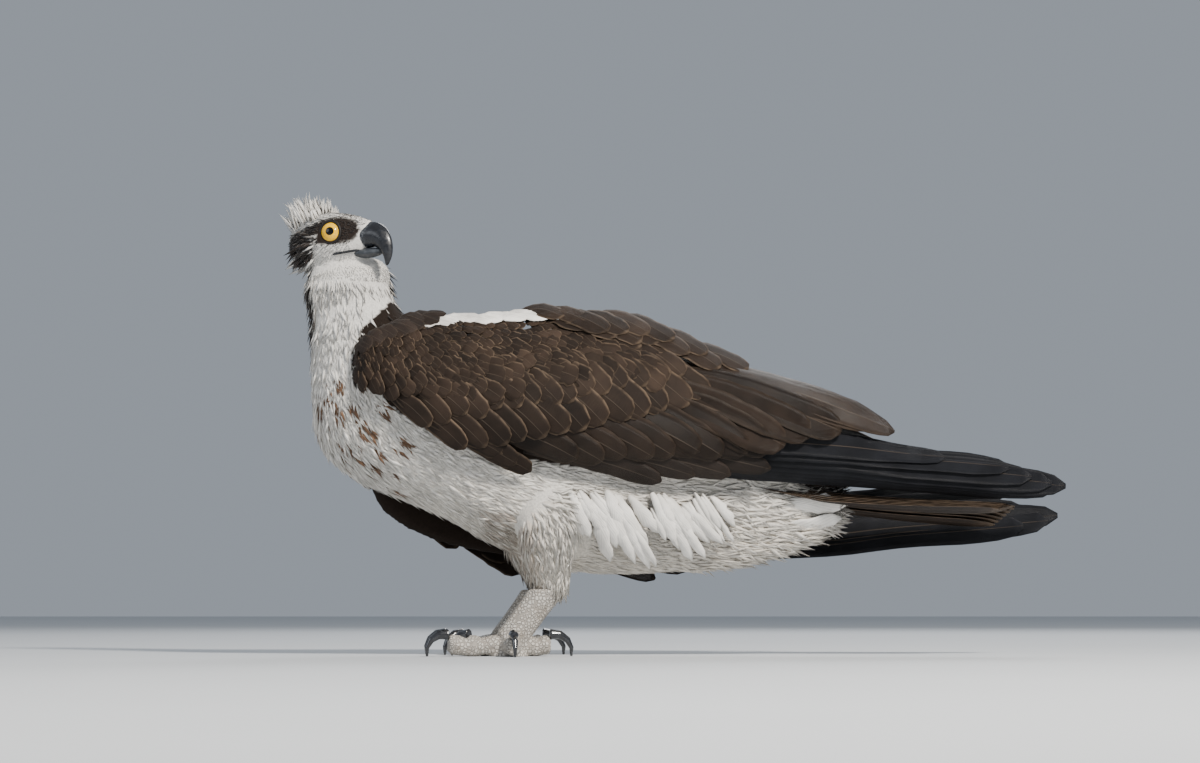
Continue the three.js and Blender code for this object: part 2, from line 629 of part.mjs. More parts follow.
function headPieces(neckSolid) {
  const skull = loft(SKULL.map(skullSection));
  const upperWhole = loft(billSections(BILL));
  const lowerWhole = loft(billSections(JAW));
  const nostrils = [LEFT, RIGHT].map((side) => {
    const slit = new THREE.SphereGeometry(1, 8, 6);
    slit.scale(NOSTRIL.length, 1.6, NOSTRIL.width);
    slit.rotateY(degrees(-28));
    slit.translate(NOSTRIL.at[0], NOSTRIL.at[1] * side, NOSTRIL.at[2]);
    return solidFrom(slit);
  });
  const mouthSlit = boxSolid([-4, -40, -8.3], [BILL_CUT_X + 1, 40, -7.5])
    .subtract(loft(SKULL.map((s) => skullSection({ ...s, half: Math.max(1, s.half - 1.2) }))));
  const upper = mainBody(
    upperWhole.trimByPlane([1, 0, 0], BILL_CUT_X + GAP / 2).subtract(join(nostrils)),
  );
  const upperRoom = loft(billSections(BILL, GAP));
  const billRoom = join([upperRoom, loft(billSections(JAW, GAP))]).trimByPlane([1, 0, 0], BILL_CUT_X);
  const lower = mainBody(lowerWhole.trimByPlane([1, 0, 0], BILL_CUT_X + GAP / 2).subtract(upperRoom));
  const eyeRoom = join([LEFT, RIGHT].flatMap((side) => [eyeSolid(side, EYE.radius + GAP), socket(side)]));
  const lids = [LEFT, RIGHT].map((side) => lidRing(side).subtract(eyeSolid(side, EYE.radius + GAP)));
  const face = join([skull, ...crestLocks()])
    .trimByPlane([-1, 0, 0], -(BILL_CUT_X - GAP / 2))
    .subtract(join([eyeRoom, mouthSlit]));
  const head = mainBody(join([toWorld(join([face, ...lids])), halfOf(neckSolid, NECK_TOP, 1)]));
  return {
    head: mainBody(halfOf(head.subtract(toWorld(join([eyeRoom, mouthSlit, billRoom]))), NECK_TOP, 1)),
    upper: toWorld(upper),
    lower: toWorld(lower),
    eyes: [LEFT, RIGHT].map((side) => toWorld(eyeSolid(side, EYE.radius))),
  };
}

const legPoint = (leg, p) => vec(p[0], p[1] * leg.side, p[2]);

function shinSolid(leg, grow = 0) {
  const points = [legPoint(leg, leg.hip), legPoint(leg, leg.shin), legPoint(leg, leg.hock)];
  const path = new THREE.CatmullRomCurve3(points);
  const last = SHIN_HALF.length - 1;
  const radii = SHIN_HALF.map((radius) => radius + grow);
  return limb(radii.map((_, i) => path.getPoint(i / last)), radii, 10);
}

// Short feathers that ring the lower edge of the feathered shin and hang back over the hock
function shinLocks(leg) {
  const hock = legPoint(leg, leg.hock);
  const down = hock.clone().sub(legPoint(leg, leg.shin)).normalize();
  return Array.from({ length: SHIN_LOCK.count }, (_, i) => {
    const angle = (i / SHIN_LOCK.count) * Math.PI * 2;
    const out = vec(Math.cos(angle), Math.sin(angle), 0);
    const frameAt = (t) => ({
      place: hock.clone().addScaledVector(down, SHIN_LOCK.from + SHIN_LOCK.length * t)
        .addScaledVector(out, SHIN_LOCK.away),
      normal: out.clone(),
      along: down.clone(),
    });
    return vane({ frameAt, half: SHIN_LOCK.half, thickness: SHIN_LOCK.thickness, rows: 2 });
  });
}

// A toe in two pieces, one with the foot and one of its own, and the claw before it
function toeParts(leg, name) {
  const toe = TOES[name];
  const sole = vec(leg.sole[0], leg.sole[1] * leg.side, 0);
  const turn = degrees(toe.heading) * leg.side;
  const way = vec(-Math.cos(turn), -Math.sin(turn), 0);
  const centres = TOE_SHARES.map((share) => {
    const lifted = Math.max(0, share - TOE_HEIGHT.liftFrom) / (1 - TOE_HEIGHT.liftFrom);
    const height = toe.thick * TOE_HEIGHT.share + TOE_HEIGHT.root * (1 - share) + TOE_HEIGHT.lift * lifted ** 2;
    return sole.clone().addScaledVector(way, share * toe.length).setZ(height);
  });
  const whole = limb(centres, TOE_SWELL.map((swell) => swell * toe.thick), 8).trimByPlane([0, 0, 1], 0);
  const start = sole.dot(way);
  const clawCut = start + toe.length - TOE_CLAW_CUT;
  const tip = sole.clone().addScaledVector(way, toe.length);
  const clawShares = Array.from({ length: CLAW.sections + 1 }, (_, i) => i / CLAW.sections);
  const clawCentres = clawShares.map((t) => {
    const angle = degrees(lerp(CLAW.rootAngle, CLAW.tipAngle, t));
    const forward = CLAW.forward + CLAW.radius * Math.sin(angle);
    return tip.clone().addScaledVector(way, forward).setZ(CLAW.high + CLAW.radius * Math.cos(angle));
  });
  const clawWhole = limb(clawCentres, clawShares.map((t) => lerp(CLAW.thick, CLAW.tip, t ** 1.2)), 8)
    .trimByPlane([0, 0, 1], 0);
  const ahead = [way.x, way.y, 0];
  const behind = [-way.x, -way.y, 0];
  return {
    inner: whole.trimByPlane(behind, -(start + TOE_CUT - GAP / 2)),
    outer: mainBody(whole.trimByPlane(ahead, start + TOE_CUT + GAP / 2).trimByPlane(behind, -clawCut)),
    claw: mainBody(clawWhole.trimByPlane(ahead, clawCut + GAP)),
  };
}

// The flat cushion under the middle of a foot
function solePad(leg) {
  const pad = new THREE.CylinderGeometry(SOLE_PAD.top, SOLE_PAD.radius, SOLE_PAD.height, SOLE_PAD.sides);
  pad.rotateX(Math.PI / 2);
  pad.translate(leg.sole[0], leg.sole[1] * leg.side, SOLE_PAD.height / 2);
  return solidFrom(pad);
}

// The bare shank above the foot
function tarsusSolid(leg, grow = 0) {
  const hock = legPoint(leg, leg.hock);
  const sole = legPoint(leg, leg.sole);
  const start = hock.clone().addScaledVector(sole.clone().sub(hock), -0.1).add(vec(0, 0, 4));
  const end = vec(sole.x, sole.y, TARSUS_END_Z);
  const radii = TARSUS_HALF.map((radius) => radius + grow);
  return limb(radii.map((_, i) => start.clone().lerp(end, i / (radii.length - 1))), radii, 9);
}

function legPieces(leg, trunkRoom) {
  const tarsus = tarsusSolid(leg).trimByPlane([0, 0, 1], 0);
  const tarsusRoom = tarsusSolid(leg, GAP);
  const toes = Object.fromEntries(Object.keys(TOES).map((name) => [name, toeParts(leg, name)]));
  for (const toe of Object.values(toes)) toe.outer = mainBody(toe.outer.subtract(tarsusRoom));
  const shin = join([shinSolid(leg), ...shinLocks(leg)]);
  const cutZ = leg.hock[2] - 1;
  const foot = join([tarsus, solePad(leg), ...Object.values(toes).map((toe) => toe.inner)])
    .trimByPlane([0, 0, -1], -(cutZ - GAP / 2));
  return {
    shin: mainBody(shin.subtract(trunkRoom).trimByPlane([0, 0, 1], cutZ + GAP / 2)),
    foot: mainBody(foot),
    toes,
  };
}

function meshOf(solid, name, colour) {
  const made = solid.getMesh();
  const geometry = new THREE.BufferGeometry();
  geometry.setAttribute("position", new THREE.BufferAttribute(new Float32Array(made.vertProperties), 3));
  geometry.setIndex(new THREE.BufferAttribute(new Uint32Array(made.triVerts), 1));
  const mesh = new THREE.Mesh(geometry, new THREE.MeshStandardMaterial(COLOURS[colour]));
  mesh.name = name;
  return mesh;
}

function groupOf(...members) {
  const group = new THREE.Group();
  group.add(...members);
  return group;
}

const trunkWhole = trunkSolid(0);
const trunkRoom = trunkSolid(GAP);
const ventCut = { point: [VENT_CUT_X, 0], lean: [1, 0] };

const tail = tailFeathers();
const tailRoom = join([tailBlock(GAP), boxSolid(...TAIL.slot), boxSolid(...TAIL.rootRoom)]);
const ventWhole = join([halfOf(trunkWhole, ventCut, 1), ...ventFeathers()]);
const vent = mainBody(
  ventWhole.subtract(tailRoom).trimByPlane([1, 0, 0], VENT_CUT_X + GAP / 2),
);
const torso = mainBody(halfOf(halfOf(trunkWhole, NECK_BASE, -1), ventCut, -1));
const neck = mainBody(halfOf(halfOf(trunkWhole, NECK_BASE, 1), NECK_TOP, -1));
const headSet = headPieces(halfOf(trunkWhole, NECK_BASE, 1));

const wingRoom = (name) => join([trunkRoom, shinSolid(LEGS[name], GAP)]);
const wings = Object.fromEntries(
  [["left", LEFT], ["right", RIGHT]].map(([name, side]) => [
    name,
    groupOf(
      meshOf(wingArm(side, wingRoom(name)), `${name}_wing_arm`, "brown"),
      meshOf(wingHand(side, wingRoom(name)), `${name}_wing_primaries`, "black"),
    ),
  ]),
);

const legs = Object.entries(LEGS).map(([name, leg]) => {
  const made = legPieces(leg, trunkRoom);
  const toes = Object.entries(made.toes).flatMap(([toe, parts]) => [
    meshOf(parts.outer, `${name}_toe_${toe}`, "scales"),
    meshOf(parts.claw, `${name}_claw_${toe}`, "horn"),
  ]);
  return groupOf(
    meshOf(made.shin, `${name}_shin`, "white"), meshOf(made.foot, `${name}_foot`, "scales"), ...toes,
  );
});

const headGroup = groupOf(
  meshOf(headSet.head, "head", "white"),
  meshOf(headSet.upper, "bill_upper", "horn"),
  meshOf(headSet.lower, "bill_lower", "horn"),
  meshOf(headSet.eyes[0], "right_eye", "iris"),
  meshOf(headSet.eyes[1], "left_eye", "iris"),
);

const bird = groupOf(
  meshOf(torso, "torso", "white"),
  meshOf(neck, "neck", "white"),
  meshOf(vent, "vent", "white"),
  meshOf(mainBody(tail), "tail", "tail"),
  headGroup,
  wings.left,
  wings.right,
  ...legs,
);

// The origin is the middle of the bird's length and width, on the floor
const bounds = new THREE.Box3().setFromObject(bird);
const middle = bounds.getCenter(new THREE.Vector3());
bird.position.set(-middle.x, -middle.y, -bounds.min.z);

export default groupOf(bird);
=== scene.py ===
import math
from itertools import product

import bpy
import numpy as np
from mathutils import Matrix, Vector
from mathutils.bvhtree import BVHTree


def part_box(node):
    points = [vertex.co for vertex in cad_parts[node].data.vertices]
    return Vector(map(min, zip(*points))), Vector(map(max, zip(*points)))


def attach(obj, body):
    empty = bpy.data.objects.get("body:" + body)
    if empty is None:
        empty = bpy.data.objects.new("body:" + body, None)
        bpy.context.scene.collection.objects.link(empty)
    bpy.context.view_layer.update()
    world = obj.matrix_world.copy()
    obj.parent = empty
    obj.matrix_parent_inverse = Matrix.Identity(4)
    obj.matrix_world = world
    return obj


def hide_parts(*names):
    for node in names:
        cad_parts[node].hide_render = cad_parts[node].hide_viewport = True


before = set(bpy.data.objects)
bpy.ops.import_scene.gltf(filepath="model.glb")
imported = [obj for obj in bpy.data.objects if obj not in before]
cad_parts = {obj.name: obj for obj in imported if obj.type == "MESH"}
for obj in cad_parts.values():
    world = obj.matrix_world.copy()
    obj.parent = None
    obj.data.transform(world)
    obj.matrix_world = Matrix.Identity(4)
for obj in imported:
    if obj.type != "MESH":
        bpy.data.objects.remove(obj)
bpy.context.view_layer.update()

rng = np.random.default_rng(11)

# Sizes are millimetres in the bird's own frame, which is moved and scaled by to_metres
LEFT = -1
RIGHT = 1
SIDES = {LEFT: "left", RIGHT: "right"}
# The head faces the x axis of its own frame, so its right side is at negative y there
HEAD_SIDES = {LEFT: "right", RIGHT: "left"}
ARMS = ("left_arm", "right_arm")
VENT_CUT_X = 128
GAP = 0.3

# Trunk and neck, from the vent to the throat: back x and z, belly x and z, half width
TRUNK = np.array([
    (214, 127, 217, 86, 9), (190, 135, 191, 72, 19), (153, 152, 151, 60, 29), (121, 168, 111, 56, 38),
    (83, 186, 66, 54, 46), (41, 203, 24, 58, 54), (3, 219, -17, 73, 59), (-31, 228, -55, 93, 61),
    (-57, 230.5, -88, 107, 59), (-71, 232.5, -116, 120, 54), (-79, 237, -135, 137, 48),
    (-83, 242, -143, 156, 42), (-85, 245, -145, 176, 37), (-87, 249, -146, 197, 33),
    (-88, 254, -147, 217, 30), (-88, 260, -148, 235, 28), (-90, 269, -151, 252, 27),
    (-103, 279, -149, 272, 20),
], float)
# The rows behind the shoulder
REAR_TRUNK = TRUNK[:8][::-1]

# Folded wing: x, lower edge z, its y, upper edge z, its y, widest y
WING = np.array([
    (-111, 192, 44, 199, 43, 45), (-97, 164, 52, 220, 46, 60), (-69, 142, 57, 229, 42, 70),
    (-28, 127, 59, 229, 35, 75), (14, 120, 57, 232, 27, 76), (55, 116, 53, 233, 20, 73),
    (97, 112, 47, 221, 15, 66), (138, 110, 41, 203, 12, 57), (179, 109, 36, 186, 11, 49),
    (221, 109, 31, 173, 11, 41), (262, 109, 27, 150, 12, 33), (304, 108, 23, 144, 12, 27),
    (345, 107, 19, 135, 12, 21), (380, 106, 16, 126, 12, 17),
], float)
LOW_EDGE = 1
HIGH_EDGE = 3
WIDEST_SHARE = 0.62
# How the right wing hangs: x, how much lower its lower and upper edges lie, further forward, further out
HANG = np.array([
    (-120, 68, 22, 18, 1), (-28, 68, 20, 11, 2), (100, 66, 17, 2, 5), (221, 59, 15, 0, 12),
    (380, 23, 13, 0, 19),
], float)
# Feathers of the right wing are broader, because they cover a taller form
WIDER = {LEFT: 1, RIGHT: 1.25}

HEAD_AT = (-128, -3, 286)
HEAD_TURN = -35
HEAD_NOD = 3
# Skull in the head's own frame: x, top, bottom, half width
SKULL = np.array([
    (-35, 5, -7, 6), (-31, 13, -15, 13), (-23, 18.5, -21, 19), (-12, 21, -24, 22.5),
    (0, 21, -23.5, 22.5), (10, 19.5, -21, 19.5), (18, 17.5, -18, 15), (25, 15, -14, 11),
    (31, 12.4, -7, 8.4), (38, 9.6, -2, 5.5),
], float)
# Bill and jaw: x, z, half height, half width
BILL = np.array([
    (20, 0.4, 8.2, 8.4), (31, 0.4, 8.5, 7.7), (37, -0.8, 8.0, 6.7), (41.5, -4.2, 6.8, 5.5),
    (44.6, -9.6, 5.0, 4.2), (45.6, -15.5, 3.2, 2.8), (44.5, -22.3, 0.9, 0.8),
], float)
JAW = np.array([
    (16, -10.6, 3.2, 7.2), (27, -11.6, 3.4, 6.6), (34, -11.8, 3.0, 5.4), (38, -11.6, 2.4, 4.4),
    (41.5, -11.0, 1.4, 2.4),
], float)
EYE_AT = (8, 12.6, 3.2)
EYE_RADIUS = 8.4
EYE_CLEAR = 7.9
EYE_LOOK = (0.28, 1, 0.05)
# The way the pupil points, and the angles from it to the edges of iris and pupil
GAZE = (0.46, 1, 0.08)
IRIS_POLAR = 0.92
IRIS_SOFT = 0.07
PUPIL_POLAR = 0.34
PUPIL_SOFT = 0.025
LID = {"radius": 7.6, "half": 1.2, "out": 4.3}

LEGS = {
    "left": {"side": LEFT, "hip": (28, 26, 126), "shin": (20, 38, 84), "hock": (23, 38, 46)},
    "right": {"side": RIGHT, "hip": (14, 25, 122), "shin": (7, 36, 84), "hock": (16, 37, 46)},
}
SHIN_HALF = np.array([24, 25.5, 25, 22, 17.5, 13.5])
TOES = ("inner", "middle", "outer", "hind")

SMALL_ROWS = 9
PRIMARY_TIPS = [(352, 113), (369, 114), (376, 117), (366, 119), (352, 124), (337, 131), (292, 137)]
# Clumps of loose feathers on the flank: x, z and size
FLANK_CLUMPS = [(42, 110, 1.0), (66, 108, 1.2), (96, 107, 1.1), (122, 108, 0.8)]
FLANK_EACH = 15
TAIL_PAIRS = 6

# How far the skin lies inside the solids
COAT_DEPTH = 3.0
HEAD_DEPTH = 1.6
# Grain of the closed forms, in metres
SKIN_VOXEL = 0.0022
FOOT_VOXEL = 0.0009
CLAW_VOXEL = 0.0004
# Random places tried for each one that a coat has room for
TRIES = 3.2
HALVINGS = 16

# Colours, linear
WHITE = np.array((0.83, 0.80, 0.75))
PAINTED_BELLY_SHADE = np.array((0.66, 0.58, 0.46))
BROWN = np.array((0.0205, 0.0130, 0.0088))
DARK = np.array((0.020, 0.014, 0.011))
TAN = np.array((0.145, 0.102, 0.068))
RUST = np.array((0.135, 0.076, 0.044))
BLACK = np.array((0.010, 0.0105, 0.013))
SHAFT = (0.10, 0.075, 0.055)

torso_low, torso_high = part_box("torso")
SHIFT = np.array((
    torso_high[0] - (VENT_CUT_X - GAP / 2) / 1000,
    (torso_low[1] + torso_high[1]) / 2,
    0,
))


def to_metres(points):
    return np.asarray(points, float) / 1000 + SHIFT


def to_mm(points):
    return (points - SHIFT) * 1000


def unit(vectors):
    vectors = np.asarray(vectors, float)
    return vectors / np.maximum(np.linalg.norm(vectors, axis=-1, keepdims=True), 1e-9)


def xyz(x, y, z):
    return np.stack(np.broadcast_arrays(x, y, z), -1)


def lerp(a, b, t):
    return a + (b - a) * t


def smoothstep(low, high, x):
    t = np.clip((np.asarray(x, float) - low) / (high - low), 0, 1)
    return t * t * (3 - 2 * t)


def smooth(xs, ys, x):
    """A smooth curve through the points of a table, as part of every form here."""
    xs, ys, x = (np.asarray(v, float) for v in (xs, ys, x))
    n = len(xs)
    before = np.clip(np.arange(n) - 1, 0, None)
    after = np.clip(np.arange(n) + 1, None, n - 1)
    slope = (ys[after] - ys[before]) / (xs[after] - xs[before])
    i = np.clip(np.searchsorted(xs, x, side="right") - 1, 0, n - 2)
    h = xs[i + 1] - xs[i]
    t = np.clip((x - xs[i]) / h, 0, 1)
    return (
        (2 * t**3 - 3 * t**2 + 1) * ys[i] + (t**3 - 2 * t**2 + t) * h * slope[i]
        + (3 * t**2 - 2 * t**3) * ys[i + 1] + (t**3 - t**2) * h * slope[i + 1]
    )


def read_table(table, x, *columns):
    """Columns of a table at places along its first column."""
    return [smooth(table[:, 0], table[:, k], x) for k in columns]


def along_table(table, s):
    """All columns of a table at steps counted in rows."""
    return [smooth(np.arange(len(table)), column, s) for column in table.T]


def wing_point(x, q):
    """A place on the folded wing, q running from its lower edge to its upper edge."""
    low, low_y, high, high_y, wide = read_table(WING, x, 1, 2, 3, 4, 5)
    middle_y = 2 * wide - (low_y + high_y) / 2
    middle = lerp(low, high, WIDEST_SHARE)
    a, b, c = (1 - q) ** 2, 2 * q * (1 - q), q**2
    return xyz(x, a * low_y + b * middle_y + c * high_y, a * low + b * middle + c * high)


def wing_normal(x, q):
    along = wing_point(x + 2, q) - wing_point(x - 2, q)
    up = wing_point(x, q + 0.02) - wing_point(x, q - 0.02)
    return unit(np.cross(up, along))


def share_at(x, z):
    """The q of the wing's place at a height."""
    low, high = np.zeros_like(x), np.ones_like(x)
    for _ in range(HALVINGS):
        middle = (low + high) / 2
        under = wing_point(x, middle)[..., 2] < z
        low = np.where(under, middle, low)
        high = np.where(under, high, middle)
    return np.clip((low + high) / 2, 0.02, 0.98)


def on_side(points, side):
    """Places on the wing of one side: the left is a mirror, the right hangs lower."""
    points = np.array(points, float)
    if side == LEFT:
        points[..., 1] *= -1
        return points
    x = points[..., 0]
    low, high = read_table(WING, x, LOW_EDGE, HIGH_EDGE)
    share = np.clip((points[..., 2] - low) / (high - low), 0, 1)
    hang_low, hang_high, forward, out = read_table(HANG, x, 1, 2, 3, 4)
    points[..., 0] -= forward
    points[..., 1] += out
    points[..., 2] -= lerp(hang_low, hang_high, share)
    return points


head_matrix = np.array(
    Matrix.Rotation(math.radians(HEAD_TURN), 3, "Z") @ Matrix.Rotation(math.radians(-HEAD_NOD), 3, "Y")
)


def from_head(points):
    return np.asarray(points, float) @ head_matrix.T + np.array(HEAD_AT)


def to_head(points):
    return (np.asarray(points, float) - np.array(HEAD_AT)) @ head_matrix


# Materials


def is_socket(value):
    return hasattr(value, "is_linked")


class Recipe:
    """The nodes of one material or group, added one after another."""

    def __init__(self, tree):
        self.tree = tree
        self.object_place = None

    def feed(self, node, key, value):
        if is_socket(value):
            self.tree.links.new(value, node.inputs[key])
        else:
            node.inputs[key].default_value = value

    def put(self, key, value):
        self.feed(self.shader, key, value)

    def add(self, kind, inputs=(), **settings):
        node = self.tree.nodes.new(kind)
        for name, value in settings.items():
            setattr(node, name, value)
        for key, value in dict(inputs).items():
            self.feed(node, key, value)
        return node

    def math(self, operation, a, b=0.0, c=0.0):
        return self.add("ShaderNodeMath", enumerate((a, b, c)), operation=operation).outputs[0]

    def times(self, a, b, plus=0.0):
        """a * b + plus"""
        return self.math("MULTIPLY_ADD", a, b, plus)

    def scaled(self, vector, amount):
        return self.add("ShaderNodeVectorMath", {0: vector, "Scale": amount}, operation="SCALE").outputs[0]

    def mix(self, share, a, b):
        a, b = (value if is_socket(value) else (*value, 1.0) for value in (a, b))
        return self.add("ShaderNodeMix", {0: share, 6: a, 7: b}, data_type="RGBA").outputs[2]

    def span(self, value, low, high, out_low=0.0, out_high=1.0):
        inputs = enumerate((value, low, high, out_low, out_high))
        return self.add("ShaderNodeMapRange", inputs, interpolation_type="SMOOTHSTEP").outputs[0]

    def place(self):
        if self.object_place is None:
            self.object_place = self.add("ShaderNodeTexCoord").outputs["Object"]
        return self.object_place

    def noise(self, scale, detail=3.0, distortion=0.0):
        inputs = {"Vector": self.place(), "Scale": scale, "Detail": detail, "Distortion": distortion}
        return self.add("ShaderNodeTexNoise", inputs).outputs["Fac"]

    def attribute(self, name, output="Color"):
        return self.add("ShaderNodeAttribute", attribute_name=name).outputs[output]

    def bump(self, height, strength, distance):
        inputs = {"Height": height, "Strength": strength, "Distance": distance}
        self.put("Normal", self.add("ShaderNodeBump", inputs).outputs["Normal"])


def new_material(name, roughness, specular=0.5, coat=0.0, coat_roughness=0.1, sheen=0.0):
    material = bpy.data.materials.new(name)
    material.use_nodes = True
    material.node_tree.nodes.clear()
    recipe = Recipe(material.node_tree)
    recipe.material = material
    recipe.shader = recipe.add("ShaderNodeBsdfPrincipled", {
        "Roughness": roughness,
        "Specular IOR Level": specular,
        "Coat Weight": coat,
        "Coat Roughness": coat_roughness,
        "Sheen Weight": sheen,
    })
    recipe.add("ShaderNodeOutputMaterial", {0: recipe.shader.outputs[0]})
    return recipe


def barb_group():
    """Fine barbs, shaft and worn edge of a feather, from its own vane map."""
    tree = bpy.data.node_groups.new("feather_barbs", "ShaderNodeTree")
    for names, way in ((("Across", "Along", "Barbs", "Slant"), "INPUT"),
                       (("Barb height", "Shaft", "Edge"), "OUTPUT")):
        for name in names:
            tree.interface.new_socket(name=name, in_out=way, socket_type="NodeSocketFloat")
    recipe = Recipe(tree)
    given = recipe.add("NodeGroupInput").outputs
    off_shaft = recipe.math("ABSOLUTE", recipe.times(given["Across"], 2.0, -1.0))
    leaning = recipe.times(off_shaft, recipe.times(given["Slant"], -1.0), given["Along"])
    wave = recipe.math("SINE", recipe.times(leaning, given["Barbs"]))
    shaft_width = recipe.times(given["Along"], -0.045, 0.075)
    shaft = recipe.math("SUBTRACT", 1.0, recipe.math("DIVIDE", off_shaft, shaft_width))
    side = recipe.span(off_shaft, 0.80, 0.97)
    tip = recipe.span(given["Along"], 0.90, 0.99)
    recipe.add("NodeGroupOutput", {
        "Barb height": recipe.times(wave, 0.5, 0.5),
        "Shaft": recipe.span(shaft, 0.0, 0.6),
        "Edge": recipe.math("MAXIMUM", side, tip),
    })
    return tree


barbs = barb_group()


def vane_nodes(recipe, barb_count, slant):
    """The barb group's outputs for a feather, fed by its vane map."""
    uv = recipe.add("ShaderNodeUVMap", uv_map="vane").outputs[0]
    across, along, _ = recipe.add("ShaderNodeSeparateXYZ", {0: uv}).outputs
    group = recipe.add("ShaderNodeGroup", node_tree=barbs)
    for key, value in (("Across", across), ("Along", along), ("Barbs", barb_count), ("Slant", slant)):
        recipe.feed(group, key, value)
    return group.outputs


def feather_material(name, barb_count, slant, roughness, trim, shaft):
    """A broad feather with its tint, worn pale edge and shaft."""
    recipe = new_material(name, roughness, 0.18)
    vane = vane_nodes(recipe, barb_count, slant)
    worn = recipe.span(recipe.noise(160.0), 0.32, 0.62, 0.25, 1.0)
    edge = recipe.times(vane["Edge"], recipe.times(worn, trim))
    blotch = recipe.span(recipe.noise(60.0, 4.0), 0.3, 0.7, 0.74, 1.24)
    base = recipe.scaled(recipe.attribute("tint"),
                         recipe.times(blotch, recipe.times(vane["Barb height"], 0.22, 0.89)))
    trimmed = recipe.mix(edge, base, recipe.attribute("trim"))
    recipe.put("Base Color", recipe.mix(recipe.times(vane["Shaft"], shaft), trimmed, SHAFT))
    recipe.bump(recipe.times(vane["Shaft"], 3.0, vane["Barb height"]), 0.5, 0.00025)
    return recipe.material


def plume_material():
    """Soft feathers, whose colour is in their tint."""
    recipe = new_material("soft_plumage", 0.85, 0.2, sheen=0.15)
    vane = vane_nodes(recipe, 40.0, 0.5)
    blotch = recipe.span(recipe.noise(90.0, 4.0), 0.3, 0.7, 0.88, 1.08)
    recipe.put("Base Color", recipe.scaled(
        recipe.attribute("tint"), recipe.times(blotch, recipe.times(vane["Barb height"], 0.10, 0.95))
    ))
    recipe.bump(vane["Barb height"], 0.4, 0.0003)
    return recipe.material


def skin_material():
    recipe = new_material("skin_down", 0.9, 0.2)
    fine = recipe.noise(700.0, 2.0)
    recipe.put("Base Color", recipe.scaled(recipe.attribute("tint"), recipe.span(fine, 0.3, 0.7, 0.75, 1.0)))
    recipe.bump(fine, 0.6, 0.0006)
    return recipe.material


def horn_material(name, rgb, roughness, streak_rgb, coat):
    """Horn with paler streaks, and creased skin where the piece's soft attribute is high."""
    recipe = new_material(name, roughness, 0.5, coat, 0.12)
    streaks = recipe.noise(220.0, 5.0, 0.6)
    horn = recipe.mix(recipe.span(streaks, 0.42, 0.72), rgb, streak_rgb)
    creases = recipe.span(recipe.noise(420.0, 4.0, 1.5), 0.38, 0.66)
    cere = recipe.mix(creases, (0.022, 0.024, 0.030), (0.15, 0.16, 0.17))
    recipe.put("Base Color", recipe.mix(recipe.attribute("soft", "Fac"), horn, cere))
    recipe.put("Roughness", recipe.span(recipe.noise(500.0), 0.3, 0.7, roughness * 0.8, roughness * 1.5))
    recipe.bump(streaks, 0.25, 0.0004)
    return recipe.material


def scale_material():
    """Pale reticulate scales with darker, dirty seams."""
    recipe = new_material("foot_scales", 0.6, 0.35)
    cells = recipe.add("ShaderNodeTexVoronoi", feature="DISTANCE_TO_EDGE")
    for key, value in (("Vector", recipe.place()), ("Scale", 420.0), ("Randomness", 0.75)):
        recipe.feed(cells, key, value)
    flat = recipe.span(cells.outputs["Distance"], 0.02, 0.22)
    dirt = recipe.span(recipe.noise(90.0, 4.0), 0.42, 0.66)
    clean = recipe.mix(flat, (0.33, 0.30, 0.265), (0.58, 0.55, 0.50))
    recipe.put("Base Color", recipe.mix(recipe.times(dirt, 0.4), clean, (0.30, 0.25, 0.20)))
    recipe.bump(flat, 0.9, 0.0007)
    return recipe.material


def eye_material():
    """Yellow iris, black pupil and dark rim, by the angle from the way the eye looks."""
    recipe = new_material("iris", 0.1, 0.25, 0.35, 0.02)
    polar = recipe.attribute("polar", "Fac")
    fleck = recipe.span(recipe.noise(900.0, 4.0), 0.3, 0.7)
    yellow = recipe.mix(fleck, (0.86, 0.42, 0.006), (0.95, 0.60, 0.02))
    rim = recipe.span(polar, IRIS_POLAR - IRIS_SOFT, IRIS_POLAR)
    ringed = recipe.mix(rim, yellow, (0.012, 0.008, 0.006))
    pupil = recipe.span(polar, PUPIL_POLAR, PUPIL_POLAR + PUPIL_SOFT)
    recipe.put("Base Color", recipe.mix(pupil, (0.002, 0.002, 0.002), ringed))
    return recipe.material


def rim_material():
    recipe = new_material("lid_skin", 0.55, 0.25)
    fine = recipe.noise(1500.0, 2.0)
    recipe.put("Base Color", recipe.mix(fine, (0.006, 0.005, 0.005), (0.022, 0.018, 0.016)))
    recipe.bump(fine, 0.4, 0.0002)
    return recipe.material


def floor_material():
    recipe = new_material("floor_paint", 0.75, 0.3)
    recipe.put("Base Color", recipe.mix(recipe.noise(3.0, 2.0), (0.56, 0.58, 0.60), (0.60, 0.62, 0.64)))
    return recipe.material


mat_skin = skin_material()
mat_plume = plume_material()
mat_covert = feather_material("brown_coverts", 200.0, 0.4, 0.7, 0.75, 0.35)
mat_flight = feather_material("flight_feathers", 420.0, 0.5, 0.42, 0.18, 0.5)
mat_tail = feather_material("tail_feathers", 420.0, 0.5, 0.5, 0.5, 0.6)
mat_bill = horn_material("bill_horn", (0.009, 0.0095, 0.012), 0.3, (0.016, 0.018, 0.023), 0.25)
mat_cere = horn_material("cere_skin", (0.030, 0.035, 0.043), 0.45, (0.085, 0.095, 0.11), 0.1)
mat_claw = horn_material("claw_horn", (0.010, 0.0105, 0.013), 0.18, (0.03, 0.032, 0.038), 0.7)
mat_scales = scale_material()
mat_eye = eye_material()
mat_rim = rim_material()


# Mesh helpers


def select(*pieces):
    """Selects these pieces alone and makes the first one active."""
    bpy.ops.object.select_all(action="DESELECT")
    for piece in pieces:
        piece.select_set(True)
    bpy.context.view_layer.objects.active = pieces[0]


